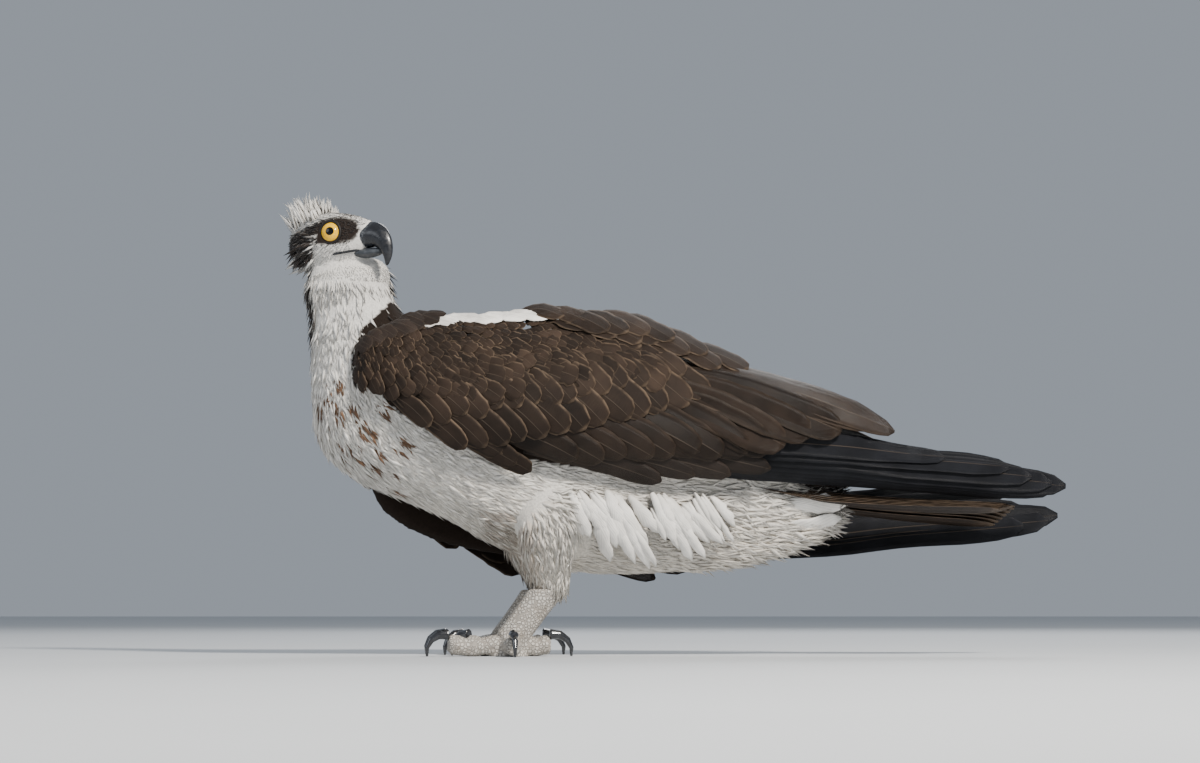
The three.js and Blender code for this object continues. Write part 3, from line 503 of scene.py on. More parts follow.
def joined(pieces):
    select(*pieces)
    if len(pieces) > 1:
        bpy.ops.object.join()
    return pieces[0]


def edit_whole(piece, operator, **settings):
    """Runs one operator on all of a piece in edit mode."""
    select(piece)
    bpy.ops.object.mode_set(mode="EDIT")
    bpy.ops.mesh.select_all(action="SELECT")
    operator(**settings)
    bpy.ops.object.mode_set(mode="OBJECT")


def read(items, key, width, kind=float):
    """Values of a mesh's items, as an array with a row for each."""
    values = np.empty(len(items) * width, kind)
    items.foreach_get(key, values)
    return values.reshape(-1, width)


def paint(mesh, key, rgb):
    rgba = np.column_stack((rgb, np.ones(len(rgb)))).astype(np.float32)
    mesh.color_attributes.new(key, "FLOAT_COLOR", "POINT").data.foreach_set("color", rgba.ravel())


def mark(mesh, key, values):
    mesh.attributes.new(key, "FLOAT", "POINT").data.foreach_set("value", values.astype(np.float32))


def tree_of(mesh):
    mesh.calc_loop_triangles()
    faces = read(mesh.loop_triangles, "vertices", 3, np.int32)
    return BVHTree.FromPolygons(read(mesh.vertices, "co", 3).tolist(), faces.tolist())


def settle(piece, name, material, slot, nodes=()):
    """Names a finished piece, gives it its finish and ties it to the frame."""
    piece.name = name
    piece.data.name = name
    piece.data.materials.clear()
    piece.data.materials.append(material)
    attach(piece, "root")
    if nodes:
        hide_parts(*nodes)


def moved(piece, points):
    """Moves a piece's points to these places in millimetres."""
    piece.data.vertices.foreach_set("co", to_metres(points).ravel())
    piece.data.update()
    select(piece)
    bpy.ops.object.shade_smooth()
    return piece


def wrapped_sphere(segments, rings, place):
    """A sphere whose points are moved to place(t, angle), t running from pole to pole."""
    bpy.ops.mesh.primitive_uv_sphere_add(segments=segments, ring_count=rings, radius=1)
    ball = bpy.context.object
    points = read(ball.data.vertices, "co", 3)
    t = np.arccos(np.clip(points[:, 2], -1, 1)) / math.pi
    angle = np.arctan2(points[:, 1], points[:, 0])
    return moved(ball, place(t, angle))


def softened(piece, voxel, iterations, grow=0.0):
    """Closes a piece into one even mesh, relaxes it and lets it swell."""
    remesh = piece.modifiers.new("close", "REMESH")
    remesh.mode = "VOXEL"
    remesh.voxel_size = voxel
    relax = piece.modifiers.new("relax", "SMOOTH")
    relax.factor = 0.5
    relax.iterations = iterations
    if grow:
        swell = piece.modifiers.new("swell", "DISPLACE")
        swell.strength = grow
        swell.mid_level = 0
    select(piece)
    for modifier in list(piece.modifiers):
        bpy.ops.object.modifier_apply(modifier=modifier.name)
    bpy.ops.object.shade_smooth()


def squared(angle, power=0.92):
    c, s = np.cos(angle), np.sin(angle)
    return np.sign(c) * np.abs(c) ** power, np.sign(s) * np.abs(s) ** power


def end_round(t, share):
    """Closes a form at both ends with a rounded cap over a share of its length."""
    near = np.minimum(t, 1 - t) / share
    return np.sqrt(np.clip(1 - (1 - np.clip(near, 0, 1)) ** 2, 0, 1))


def trunk_place(t, angle):
    back_x, back_z, belly_x, belly_z, half = along_table(TRUNK, t * (len(TRUNK) - 1))
    c, s = squared(angle)
    cap = end_round(t, 0.035)
    up = xyz((back_x - belly_x) / 2, 0, (back_z - belly_z) / 2)
    up = up * (1 - COAT_DEPTH / np.linalg.norm(up, axis=-1, keepdims=True))
    centre = xyz((back_x + belly_x) / 2, (half - COAT_DEPTH) * (c * cap), (back_z + belly_z) / 2)
    return centre + up * (s * cap)[:, None]


def skull_place(t, angle):
    x = lerp(SKULL[0, 0], SKULL[-1, 0] - 3, t)
    top, bottom, half = read_table(SKULL, x, 1, 2, 3)
    c, s = squared(angle, 0.95)
    cap = end_round(t, 0.06)
    height = (top - bottom) / 2 - HEAD_DEPTH
    return from_head(xyz(x, (half - HEAD_DEPTH) * c * cap, (top + bottom) / 2 + height * s * cap))


def shin_place(leg):
    side = leg["side"]
    points = np.array([(x, y * side, z) for x, y, z in (leg["hip"], leg["shin"], leg["hock"])], float)

    def place(t, angle):
        centre = xyz(*(smooth((0, 0.5, 1), column, t) for column in points.T))
        half = smooth(np.linspace(0, 1, len(SHIN_HALF)), SHIN_HALF, t)
        radius = (half - COAT_DEPTH) * end_round(t, 0.05)
        return centre + xyz(np.cos(angle) * radius, np.sin(angle) * radius, 0)
    return place


def arm_place(side):
    """The flesh of the folded arm, under the wing's feathers."""
    def place(t, angle):
        x = lerp(-106, 150, t)
        cap = end_round(t, 0.08)
        q = 0.5 + 0.5 * np.cos(angle) * np.clip(cap, 0.05, 1)
        depth = 4 + 9 * (1 - np.sin(angle)) * cap
        q = np.clip(q, 0.03, 0.97)
        return on_side(wing_point(x, q) - wing_normal(x, q) * depth[:, None], side)
    return place


# Markings and a painted shade on the lower belly, the same for skin and coat

# Dark stripes down the neck: places along each, and its half width
STRIPES = [
    [(-146, -14, 284), (-150, -13, 272), (-151, -11, 262), (-150, -9, 250), (-148, -8, 240),
     (-147, -6, 230), (-146, -2, 220), (-140, 14, 208), (-118, 27, 206), (-95, 20, 225)],
    [(-110, 14, 284), (-98, 15, 272), (-91, 9, 262), (-87, 4, 252), (-82, 0, 244), (-74, -2, 238)],
]
STRIPE_HALF = [7.5, 5.5]
# The edge of the dark mantle at the neck's base, as x at each height
COLLAR = np.array([(-112, 188), (-114, 205), (-107, 223), (-97, 233), (-88, 243), (-80, 246)], float)
# The dark mask on each side of the head, in the head's frame: x, middle, half height
MASK = np.array([
    (-36, -4, 9), (-30, -3.5, 9), (-22, -1.5, 7.5), (-14, 1, 6.4), (-6, 3.4, 6.6), (2, 4.4, 9),
    (10, 4.8, 10), (16, 4.4, 9.5), (21, 4.2, 8.4), (25, 4.0, 6.0), (27.5, 4.0, 1.5), (30, 4, -2),
], float)
# A pale spot in the mask, and the line of the mouth
SPOT = {"from": (-1.5, 1.5), "to": (-4.5, -5.0), "half": 1.5}
GAPE = {"from": (9.0, -11.8), "to": (26.0, -9.6), "half": 0.9}
STREAKS = 420
STREAK_HALF_WIDTH = 1.1
STREAK_HALF_LENGTH = 3.4
streak_places = np.column_stack((
    rng.uniform(-150, -84, STREAKS), rng.uniform(-54, 54, STREAKS), rng.uniform(112, 192, STREAKS),
))


def distance_to_line(points, line):
    best = np.full(len(points), 1e9)
    for a, b in zip(line[:-1], line[1:]):
        a, b = np.array(a, float), np.array(b, float)
        t = np.clip(((points - a) @ (b - a)) / np.dot(b - a, b - a), 0, 1)
        best = np.minimum(best, np.linalg.norm(points - a - t[:, None] * (b - a), axis=1))
    return best


def near_segment(x, z, segment):
    (ax, az), (bx, bz) = segment["from"], segment["to"]
    span = (bx - ax) ** 2 + (bz - az) ** 2
    t = np.clip(((x - ax) * (bx - ax) + (z - az) * (bz - az)) / span, 0, 1)
    return np.hypot(x - ax - t * (bx - ax), z - az - t * (bz - az)) < segment["half"]


def head_mask(local, noise):
    """Where the head is dark: a mask from the bill through the eye to the nape, and streaks on the brow."""
    x, y, z = local.T
    middle, half = read_table(MASK, x, 1, 2)
    mask = 1 - smoothstep(-1.2, 1.0, np.abs(z - middle) - half * (0.88 + 0.24 * noise))
    mask = mask * smoothstep(3.0, 6.0, np.abs(y))
    mask = np.where(near_segment(x, z, SPOT), 0, mask)
    brow = smoothstep(-2, 12, z) * smoothstep(-2, 14, x) * (noise > 0.66) * 0.9
    centre_streak = (np.abs(y + 3) < 2.2) * (z > 14) * (x > -16) * (noise > 0.35) * 0.9
    return np.maximum(mask, np.maximum(brow, centre_streak))


def back_height(x):
    """The back's height, with rows a hair further apart because two of them share an x."""
    order = np.argsort(TRUNK[:, 0])
    return smooth(TRUNK[order, 0] + np.arange(len(order)) * 0.01, TRUNK[order, 1], x)


def tint_at(points, noise):
    """The plumage colour at places on the body, with painted shade on the lower belly, and noise from 0 to 1
    for each.
    """
    points = np.asarray(points, float)
    x, y, z = points.T

    def laid_over(tint, rgb, share):
        return lerp(tint, rgb, np.asarray(share, float)[:, None])

    def varied(rgb, least, spread):
        return rgb * (least + spread * noise)[:, None]

    # Painted shade: the white turns towards cream lower down on the belly, legs and undertail, standing in
    # for the shade on the underside
    low = smoothstep(150, 60, z) * smoothstep(-140, -60, x)
    tint = laid_over(varied(WHITE, 0.90, 0.13), PAINTED_BELLY_SHADE * 1.15, low * (0.25 + 0.3 * noise))
    edge = np.interp(z, COLLAR[:, 1], COLLAR[:, 0]) + 5 * (noise - 0.5)
    collar = (x > edge) * (z > 188) * (z < 246) * (x < -60)
    on_back = (x >= -82) * smoothstep(0, 9, z - back_height(x) + 9 + 0.55 * (46 - np.abs(y)).clip(0, 40))
    tint = laid_over(tint, varied(BROWN, 0.55, 0.6), np.maximum(collar, on_back))
    for line, half in zip(STRIPES, STRIPE_HALF):
        away = distance_to_line(points, line)
        dark = 1 - smoothstep(-1.5, 1.5, away - half * (0.65 + 0.6 * noise))
        tint = laid_over(tint, varied(DARK, 0.8, 0.8), dark)
    near_head = (np.linalg.norm(points - np.array(HEAD_AT), axis=1) < 46) * (z > 256)
    masked = head_mask(to_head(points), noise) * near_head
    tint = laid_over(tint, varied(DARK, 0.7, 1.0), masked)
    breast = (x < -66) & (z > 104) & (z < 202)
    rust = varied(RUST, 0.8, 0.8)
    for place in streak_places:
        away = points - place
        close = np.hypot(away[:, 0] * 0.5, away[:, 2]) < STREAK_HALF_LENGTH
        close &= np.abs(away[:, 1]) < STREAK_HALF_WIDTH
        tint = np.where((breast & close)[:, None], rust, tint)
    stain = (z > 44) * (z < 100) * smoothstep(20, 2, x) * (x > -30) * (noise > 0.45)
    return laid_over(tint, RUST * 1.5, stain * 0.45)


# Lie of the coat

SPINE = np.array([
    (-126, -2, 275), (-119, 0, 250), (-117, 0, 215), (-104, 0, 178), (-62, 0, 160), (0, 0, 148),
    (70, 0, 128), (150, 0, 116), (220, 0, 108),
], float)


def lie_at(points, region):
    """The way that feathers lie at places on the body, before they are laid on the skin."""
    way = np.zeros_like(points)
    for a, b in zip(SPINE[:-1], SPINE[1:]):
        weight = 1 / (np.linalg.norm(points - (a + b) / 2, axis=1) ** 3 + 1)
        way += unit(b - a) * weight[:, None]
    way = unit(way)
    shin = np.isin(region, ("left_shin", "right_shin"))
    down = smoothstep(112, 88, points[:, 2]) * shin
    way = unit(lerp(way, np.array((0.12, 0, -1.0)), down[:, None]))
    local = to_head(points)
    near = (region == "head") * smoothstep(258, 272, points[:, 2])
    back = xyz(-1.0, 0.18 * np.sign(local[:, 1]), -0.25 - 0.5 * smoothstep(4, -18, local[:, 2]))
    return unit(lerp(way, back @ head_matrix.T, near[:, None]))


def mesh_from(name, points, faces, tint, vane, bake, trim=None):
    """One mesh from arrays: points in millimetres, faces as rows of three."""
    mesh = bpy.data.meshes.new(name)
    mesh.vertices.add(len(points))
    mesh.vertices.foreach_set("co", to_metres(points).astype(np.float32).ravel())
    mesh.loops.add(len(faces) * 3)
    mesh.loops.foreach_set("vertex_index", faces.astype(np.int32).ravel())
    mesh.polygons.add(len(faces))
    mesh.polygons.foreach_set("loop_start", np.arange(len(faces), dtype=np.int32) * 3)
    mesh.update(calc_edges=True)
    paint(mesh, "tint", tint)
    if trim is not None:
        paint(mesh, "trim", trim)
    for key, values in (("vane", vane), ("OFBake", bake)):
        layer = mesh.uv_layers.new(name=key)
        layer.data.foreach_set("uv", values[faces.ravel()].astype(np.float32).ravel())
    mesh.polygons.foreach_set("use_smooth", np.ones(len(faces), bool))
    piece = bpy.data.objects.new(name, mesh)
    bpy.context.scene.collection.objects.link(piece)
    return piece


NEIGHBOURS = list(product((-1, 0, 1), repeat=3))


class SkinMap:
    """Finds places on the skin, and the skin's own unwrap near them."""

    def __init__(self, piece):
        mesh = piece.data
        self.tree = tree_of(mesh)
        self.faces = read(mesh.loop_triangles, "vertices", 3, np.int32)
        self.points = read(mesh.vertices, "co", 3)
        self.normals = read(mesh.vertices, "normal", 3)
        corners = read(mesh.loop_triangles, "loops", 3, np.int32)
        self.uv = read(mesh.uv_layers["OFBake"].data, "uv", 2)[corners]

    def uv_at(self, places):
        faces = [self.tree.find_nearest(Vector(place))[2] for place in places]
        return self.uv[faces].mean(axis=1)

    def scatter(self, spacing, keep):
        """Even places on the skin, at least a spacing apart in millimetres, where keep says so."""
        a, b, c = (self.points[self.faces[:, k]] for k in range(3))
        area = np.linalg.norm(np.cross(b - a, c - a), axis=1) / 2
        area = area * keep(to_mm((a + b + c) / 3))
        count = int(area.sum() * 1e6 / spacing**2 * TRIES)
        face = rng.choice(len(area), count, p=area / area.sum())
        r1, r2 = np.sqrt(rng.random(count)), rng.random(count)
        weights = np.column_stack((1 - r1, r1 * (1 - r2), r1 * r2))[..., None]
        corners = self.faces[face]
        places = to_mm((self.points[corners] * weights).sum(1))
        normals = unit((self.normals[corners] * weights).sum(1))
        taken, chosen = {}, []
        for k, (i, j, m) in enumerate(np.floor(places / spacing).astype(int)):
            others = (taken.get((i + di, j + dj, m + dm)) for di, dj, dm in NEIGHBOURS)
            away = (places[k] - places[other] for other in others if other is not None)
            if all(np.dot(gap, gap) >= spacing**2 for gap in away):
                taken[(i, j, m)] = k
                chosen.append(k)
        return places[chosen], normals[chosen]


# A tuft has three points at its root, three half way and one at its tip
TUFT_HALF = ((0.0, 0.55), (0.5, 1.0))
TUFT_FACES = np.array([
    (0, 1, 2), (0, 3, 1), (1, 3, 4), (1, 4, 2), (2, 4, 5), (2, 5, 0), (0, 5, 3),
    (3, 6, 4), (4, 6, 5), (5, 6, 3),
])
TUFT_ROW = np.array((0, 0, 0, 0.5, 0.5, 0.5, 1.0))
TUFT_ACROSS = np.array((0, 0.5, 1, 0, 0.5, 1, 0.5))
BAKE_PATCH = 0.003
CELL_MARGIN = 0.06


def tufts(name, places, normals, ways, length, half, lift, tint, sink, stray, stand):
    """Small closed feathers, three-sided and tapering, that lie along the skin."""
    n = len(places)
    ways = unit(ways - normals * (ways * normals).sum(1, keepdims=True) * (1 - stand))
    sides = unit(np.cross(ways, normals))
    ways = unit(ways + sides * rng.normal(0, stray, n)[:, None])
    sides = unit(np.cross(ways, normals))
    points = np.empty((n, 7, 3))
    for row, (t, share) in enumerate(TUFT_HALF):
        rise = -sink * (1 - t) + lift * t
        centre = places + ways * (length * t)[:, None] + normals * rise[:, None]
        width = (half * share)[:, None]
        points[:, row * 3] = centre + sides * width
        points[:, row * 3 + 1] = centre + normals * (width * 0.45)
        points[:, row * 3 + 2] = centre - sides * width
    drift = sides * (rng.normal(0, 0.10, n) * length)[:, None]
    points[:, 6] = places + ways * length[:, None] + normals * lift[:, None] + drift
    faces = (TUFT_FACES[None] + (np.arange(n) * 7)[:, None, None]).reshape(-1, 3)
    colours = tint[:, None] * lerp(0.95, 1.05, TUFT_ROW)[None, :, None]
    vane = np.tile(np.column_stack((TUFT_ACROSS, TUFT_ROW)), (n, 1))
    spread = np.column_stack((TUFT_ACROSS - 0.5, TUFT_ROW - 0.5)) * BAKE_PATCH
    bake = (skin_map.uv_at(to_metres(places))[:, None] + spread[None]).reshape(-1, 2)
    return mesh_from(name, points.reshape(-1, 3), faces, colours.reshape(-1, 3), vane, bake)


class VaneSheet:
    """Collects broad feathers into one mesh, each a closed thin plate with its own place on the map."""

    def __init__(self, name):
        self.name = name
        self.points, self.faces, self.tint, self.trim, self.vane, self.cell = [], [], [], [], [], []
        self.total = 0

    def add(self, path, normals, half, tint, trim, shape, cols=6, thickness=0.5, slope=0.0,
            camber=0.0, ragged=0.03, tip_tint=None):
        rows = len(path) - 1
        wide = cols + 1
        t = np.linspace(0, 1, rows + 1)
        along = unit(np.gradient(path, axis=0))
        normals = unit(normals - along * (normals * along).sum(1, keepdims=True))
        sides = unit(np.cross(normals, along))
        s = np.linspace(-1, 1, wide)
        width = half * shape(t)
        edge_noise = 1 + rng.normal(0, ragged, (rows + 1, 2)) * (t[:, None] > 0.25)
        grid = np.empty((2, rows + 1, wide, 3))
        thin = thickness * (1 - 0.55 * t)[:, None]
        for layer, sign in enumerate((1, -1)):
            reach = s[None] * width[:, None] * np.where(s[None] > 0, edge_noise[:, :1], edge_noise[:, 1:])
            rise = slope * reach - camber * s[None] ** 2 + sign * thin / 2
            rise = rise + sign * 0.35 * thickness * np.exp(-(s[None] / 0.1) ** 2)
            grid[layer] = path[:, None] + sides[:, None] * reach[..., None]
            grid[layer] += normals[:, None] * rise[..., None]
        base = self.total
        layer_size = (rows + 1) * wide
        i, j = np.meshgrid(np.arange(rows), np.arange(cols), indexing="ij")
        a = (i * wide + j).ravel() + base
        b, c, d = a + wide, a + wide + 1, a + 1
        top = np.concatenate((np.column_stack((a, b, c)), np.column_stack((a, c, d))))
        under = top[:, ::-1] + layer_size
        rim = [r * wide for r in range(rows)] + [rows * wide + k for k in range(cols)]
        rim += [r * wide + cols for r in range(rows, 0, -1)] + list(range(cols, 0, -1))
        rim = np.array(rim) + base
        after = np.roll(rim, -1)
        walls = np.concatenate((
            np.column_stack((rim, rim + layer_size, after + layer_size)),
            np.column_stack((rim, after + layer_size, after)),
        ))
        count = 2 * layer_size
        row_share = np.tile(np.repeat(t, wide), 2)
        self.points.append(grid.reshape(-1, 3))
        self.faces.append(np.concatenate((top, under, walls)))
        self.tint.append(lerp(tint, tint if tip_tint is None else tip_tint, row_share[:, None]))
        self.trim.append(np.tile(trim, (count, 1)))
        self.vane.append(np.column_stack((np.tile((s + 1) / 2, 2 * (rows + 1)), row_share)))
        self.cell.append(np.full(count, len(self.cell)))
        self.total += count

    def build(self):
        points, faces, tint, trim, vane, cell = (
            np.concatenate(v) for v in (self.points, self.faces, self.tint, self.trim, self.vane, self.cell)
        )
        across = math.ceil(math.sqrt(len(self.cell)))
        corner = np.column_stack((cell % across, cell // across)) / across
        bake = corner + lerp(CELL_MARGIN, 1 - CELL_MARGIN, vane) / across
        return mesh_from(self.name, points, faces, tint, vane, bake, trim)


def rounded(t):
    """A covert's width along its length, broad with a round tip."""
    root = 0.42 + 0.58 * np.clip(t / 0.42, 0, 1) ** 0.8
    tip = np.where(t < 0.66, 1, np.sqrt(np.clip(1 - ((t - 0.66) / 0.343) ** 2, 0, 1)))
    return root * np.maximum(0.1, tip)


def blade(t):
    """A long flight feather, narrow at the root and pointed late."""
    root = 0.5 + 0.5 * np.clip(t / 0.3, 0, 1)
    tip = np.where(t < 0.8, 1, np.sqrt(np.clip(1 - ((t - 0.8) / 0.203) ** 2, 0, 1)))
    return root * np.maximum(0.08, tip)


def path_on_wing(root, tip, root_lift, tip_lift, side, rows, bow):
    """A feather's path over the wing from root to tip, both as x and z, and the way out from it."""
    t = np.linspace(0, 1, rows + 1)
    t = 1 - (1 - t) ** 1.25
    x = lerp(root[0], tip[0], t)
    z = lerp(root[1], tip[1], t) + bow * np.sin(math.pi * t)
    q = share_at(x, z)
    lift = lerp(root_lift, tip_lift, np.sin(np.minimum(1, t * 1.6) * math.pi / 2))
    normal = wing_normal(x, q)
    flat = wing_point(x, q)
    path = on_side(flat + normal * lift[:, None], side)
    return path, unit(on_side(flat + normal * 0.5, side) - on_side(flat, side))


def shade_of(rgb, spread):
    return rgb * min(1.7, max(0.45, 1 + rng.normal(0, spread)))


def tier(sheet, side, count, roots, tips, half, lift, slope, tint, trim, rows=9, bow=0.0,
         jitter=1.4, ragged=0.03, arch=4.0, spread=0.2):
    """Feathers in a row, their roots and tips on two lines given by start and end in x and z."""
    roots, tips = np.array(roots, float), np.array(tips, float)
    for k in range(count):
        t = k / (count - 1)
        tip = lerp(*tips, t) + rng.normal(0, jitter, 2) + (0, bow * math.sin(math.pi * t))
        path, outward = path_on_wing(lerp(*roots, t), tip, -2.0, lerp(*lift, t), side, rows, arch)
        own = shade_of(tint, spread)
        width = lerp(*half, t) * rng.uniform(0.94, 1.06) * WIDER[side]
        sheet.add(path, outward, width, own, shade_of(trim, 0.15), rounded,
                  slope=slope * side, camber=0.5, ragged=ragged, tip_tint=own * 1.12)


# Skin


def build_skin():
    """The skin, and a search tree of each form that it is made from."""
    forms = {
        "trunk": wrapped_sphere(72, 120, trunk_place),
        "head": wrapped_sphere(48, 48, skull_place),
        "left_arm": wrapped_sphere(40, 60, arm_place(LEFT)),
        "right_arm": wrapped_sphere(40, 60, arm_place(RIGHT)),
    }
    for name, leg in LEGS.items():
        forms[f"{name}_shin"] = wrapped_sphere(28, 30, shin_place(leg))
    trees = {name: tree_of(form.data) for name, form in forms.items()}
    skin = joined(list(forms.values()))
    softened(skin, SKIN_VOXEL, 4)
    edit_whole(skin, bpy.ops.uv.smart_project, angle_limit=math.radians(66), island_margin=0.002)
    skin.data.uv_layers[0].name = "OFBake"
    return skin, trees


def region_of(places):
    """The name of the form that each place is nearest to."""
    metres = to_metres(places)
    away = [[tree.find_nearest(Vector(p))[3] for p in metres] for tree in trees.values()]
    return np.array(list(trees))[np.argmin(away, axis=0)]


skin, trees = build_skin()
skin_map = SkinMap(skin)
skin_mm = to_mm(skin_map.points)
skin_tint = tint_at(skin_mm, np.full(len(skin_mm), 0.4))
skin_tint = np.where(np.isin(region_of(skin_mm), ARMS)[:, None], BROWN * 0.8, skin_tint)
paint(skin.data, "tint", skin_tint)
settle(skin, "skin", mat_skin, "white_feathers", ("torso", "neck", "head", "left_shin", "right_shin"))


# Coat of small feathers


def amounts(value, places):
    """A measure for each place, from one number or from a function of the places."""
    return value(places) if callable(value) else np.full(len(places), float(value))


def coat(name, spacing, keep, length, half, lift, slot, nodes=(), sink=1.2, stray=0.13, way=None, stand=0.02):
    places, normals = skin_map.scatter(spacing, keep)
    region = region_of(places)
    wanted = ~np.isin(region, ARMS)
    places, normals, region = places[wanted], normals[wanted], region[wanted]
    n = len(places)
    noise = rng.random(n)
    ways = lie_at(places, region) if way is None else way(places)
    size = rng.uniform(0.75, 1.25, n)
    piece = tufts(
        name, places, normals, ways, amounts(length, places) * size, half * size,
        lift * rng.uniform(0.5, 1.6, n), tint_at(places + ways * 2.0, noise), sink, stray, stand,
    )
    settle(piece, name, mat_plume, slot, nodes)


def between(low_x, high_x, low_z=-math.inf, high_z=math.inf):
    """A zone between two x and two heights."""
    def zone(points):
        x, _, z = points.T
        return (x >= low_x) & (x < high_x) & (z > low_z) & (z < high_z)
    return zone


def head_zone(points):
    return points @ np.array((0.1, 0, 0.995)) > 247


def bare_head(points):
    """The head without the eyes, the bill and the line of the mouth."""
    local = to_head(points)
    x, _, z = local.T
    clear = head_zone(points)
    for side in SIDES:
        eye = np.array((EYE_AT[0] + 2.0, (EYE_AT[1] + 6.5) * side, EYE_AT[2]))
        clear = clear & (np.linalg.norm(local - eye, axis=1) > EYE_CLEAR)
    before_bill = x < 22.5 + 1.2 * np.clip(z, 0, 10)
    before_chin = (z < -13.5) & (x < 33)
    return clear & (before_bill | before_chin) & ~near_segment(x, z, GAPE)


def neck_zone(points):
    return (points[:, 0] * -0.69 + points[:, 2] * 0.72 > 222) & ~head_zone(points)


def breast_zone(points):
    return ~head_zone(points) & ~neck_zone(points) & (points[:, 0] < -30)


def head_length(points):
    return 3.4 + 4.0 * smoothstep(20, -20, to_head(points)[:, 0])


def crest_zone(points):
    x, y, z = to_head(points).T
    return (z > 7) & (x < -6) & (x > -31) & (np.abs(y) < 16)


def crest_length(points):
    x = to_head(points)[:, 0]
    return 6.5 + 8 * smoothstep(-6, -16, x) * (1 - 0.45 * smoothstep(-22, -32, x))


def crest_way(points):
    local = to_head(points)
    back = smoothstep(-6, -32, local[:, 0])
    way = np.column_stack((-0.16 - 0.16 * back, 0.02 * local[:, 1], 1.05 - 0.1 * back))
    return way @ head_matrix.T + rng.normal(0, 0.16, (len(points), 3))


def nape_zone(points):
    near = np.minimum(*(distance_to_line(points, line) for line in STRIPES))
    return (near < 9) & (points[:, 2] > 226)


# Name, spacing, zone, length, half width, lift and slot of each coat
coat("head_coat", 0.95, bare_head, head_length, 0.5, 0.5, "head_feathers", sink=0.8, stray=0.10)
coat("crest", 1.3, crest_zone, crest_length, 1.15, 1.0, "head_feathers", sink=0.5, stray=0.14,
     way=crest_way, stand=1.0)
coat("nape_spikes", 2.4, nape_zone, 11, 1.0, 3.0, "head_feathers", stray=0.35, stand=0.4)
coat("neck_coat", 1.45, neck_zone, 13, 0.95, 0.7, "white_feathers", stray=0.10)
coat("neck_ruffle", 5.5, neck_zone, 15, 1.3, 2.0, "white_feathers", stray=0.25)
coat("breast_coat", 1.7, breast_zone, 13, 1.1, 0.8, "white_feathers", stray=0.10)
coat("breast_ruffle", 6.5, breast_zone, 15, 1.5, 1.8, "white_feathers", stray=0.25)
coat("belly_coat", 2.0, between(-30, 125, low_z=48), 16, 1.3, 1.0, "white_feathers", stray=0.14)
coat("shin_coat", 1.6, between(-30, 60, high_z=92), 9, 0.85, 0.8, "white_feathers", stray=0.12)
coat("vent_coat", 2.4, between(100, math.inf), 22, 1.3, 2.4, "white_feathers", ("vent",), stray=0.22)


# Wings


def small_coverts(sheet, side):
    """Rows of small feathers on the shoulder, which run together at the wrist and grow towards the rear."""
    for row in range(SMALL_ROWS):
        down = row / (SMALL_ROWS - 1)
        half = lerp(4.0, 7.4, down)
        x = (-109 if side == LEFT else -97) + 5 * rng.random()
        end = lerp(96, 84, down)
        while x < end:
            rear = smoothstep(-100, 70, x)
            share = lerp(0.94, lerp(0.46, 0.68, rear), down) + rng.normal(0, 0.008)
            size = half * lerp(0.75, 1.15, rear) * rng.uniform(0.82, 1.18)
            root = np.array((x, lerp(*read_table(WING, x, LOW_EDGE, HIGH_EDGE), share)))
            slope = math.radians(lerp(62, 24, smoothstep(-108, -40, x)) + rng.normal(0, 9))
            reach = size * rng.uniform(2.4, 3.0)
            tip = root + reach * np.array((math.cos(slope), -math.sin(slope)))
            tip_lift = lerp(3.6, 5.0, down) + rng.normal(0, 0.35)
            path, outward = path_on_wing(root, tip, 0.4, tip_lift, side, 7, 0.6)
            patch = 1 + 0.28 * math.sin(0.09 * x + 1.7 * row) * math.sin(0.05 * x - row)
            own = shade_of(BROWN * patch * lerp(0.85, 1.35, rng.random()), 0.15)
            pale = TAN * lerp(1.5, 0.8, down) * rng.uniform(0.5, 1.3)
            sheet.add(path, outward, size * WIDER[side], own * 0.85, pale, rounded, 4,
                      slope=-0.10 * side, camber=0.3, ragged=0.06, tip_tint=own * 1.3)
            x += size * rng.uniform(0.95, 1.25)


def wing_coverts(sheet, side):
    tier(sheet, side, 8, [(-86, 180), (-30, 139)], [(-62, 166), (10, 124)], (8.5, 8), (3.0, 1.8), 0.04,
         BROWN * 0.75, TAN * 0.7, arch=2.5)
    tier(sheet, side, 13, [(-76, 166), (84, 192)], [(-34, 141), (126, 171)], (9, 11.5), (3.0, 4.0), -0.09,
         BROWN * 0.95, TAN, bow=-4, rows=11, arch=5.0)
    tier(sheet, side, 15, [(-88, 176), (78, 203)], [(-56, 157), (108, 186)], (8, 10), (4.0, 5.0), -0.09,
         BROWN * 1.1, TAN, bow=-2)
    small_coverts(sheet, side)


def wing_flight(sheet, side):
    for k, tip in enumerate(PRIMARY_TIPS):
        t = k / (len(PRIMARY_TIPS) - 1)
        root = (66, lerp(124, 146, t))
        path, outward = path_on_wing(root, tip, lerp(-12, -5, t), lerp(-9.4, -2.4, t), side, 18, 3.0)
        sheet.add(path, outward, 10.5 - 0.3 * k, shade_of(BLACK, 0.12), BLACK * 3, blade,
                  slope=-0.02 * side, ragged=0.015)
    tier(sheet, side, 4, [(4, 138), (34, 144)], [(96, 117), (168, 127)], (8.5, 9), (-1.4, -0.6), -0.08,
         DARK, TAN * 0.6, rows=14, bow=-1)
    tier(sheet, side, 9, [(-30, 157), (80, 178)], [(40, 132), (170, 140)], (11, 13), (0.4, 2.2), -0.12,
         BROWN * 0.8, TAN * 0.8, rows=16, bow=-1, ragged=0.02)
    tier(sheet, side, 5, [(66, 186), (100, 200)], [(178, 142), (258, 151)], (15, 15), (3.0, 5.0), -0.1,
         BROWN * 0.95, TAN * 0.9, rows=16, bow=5, ragged=0.025)


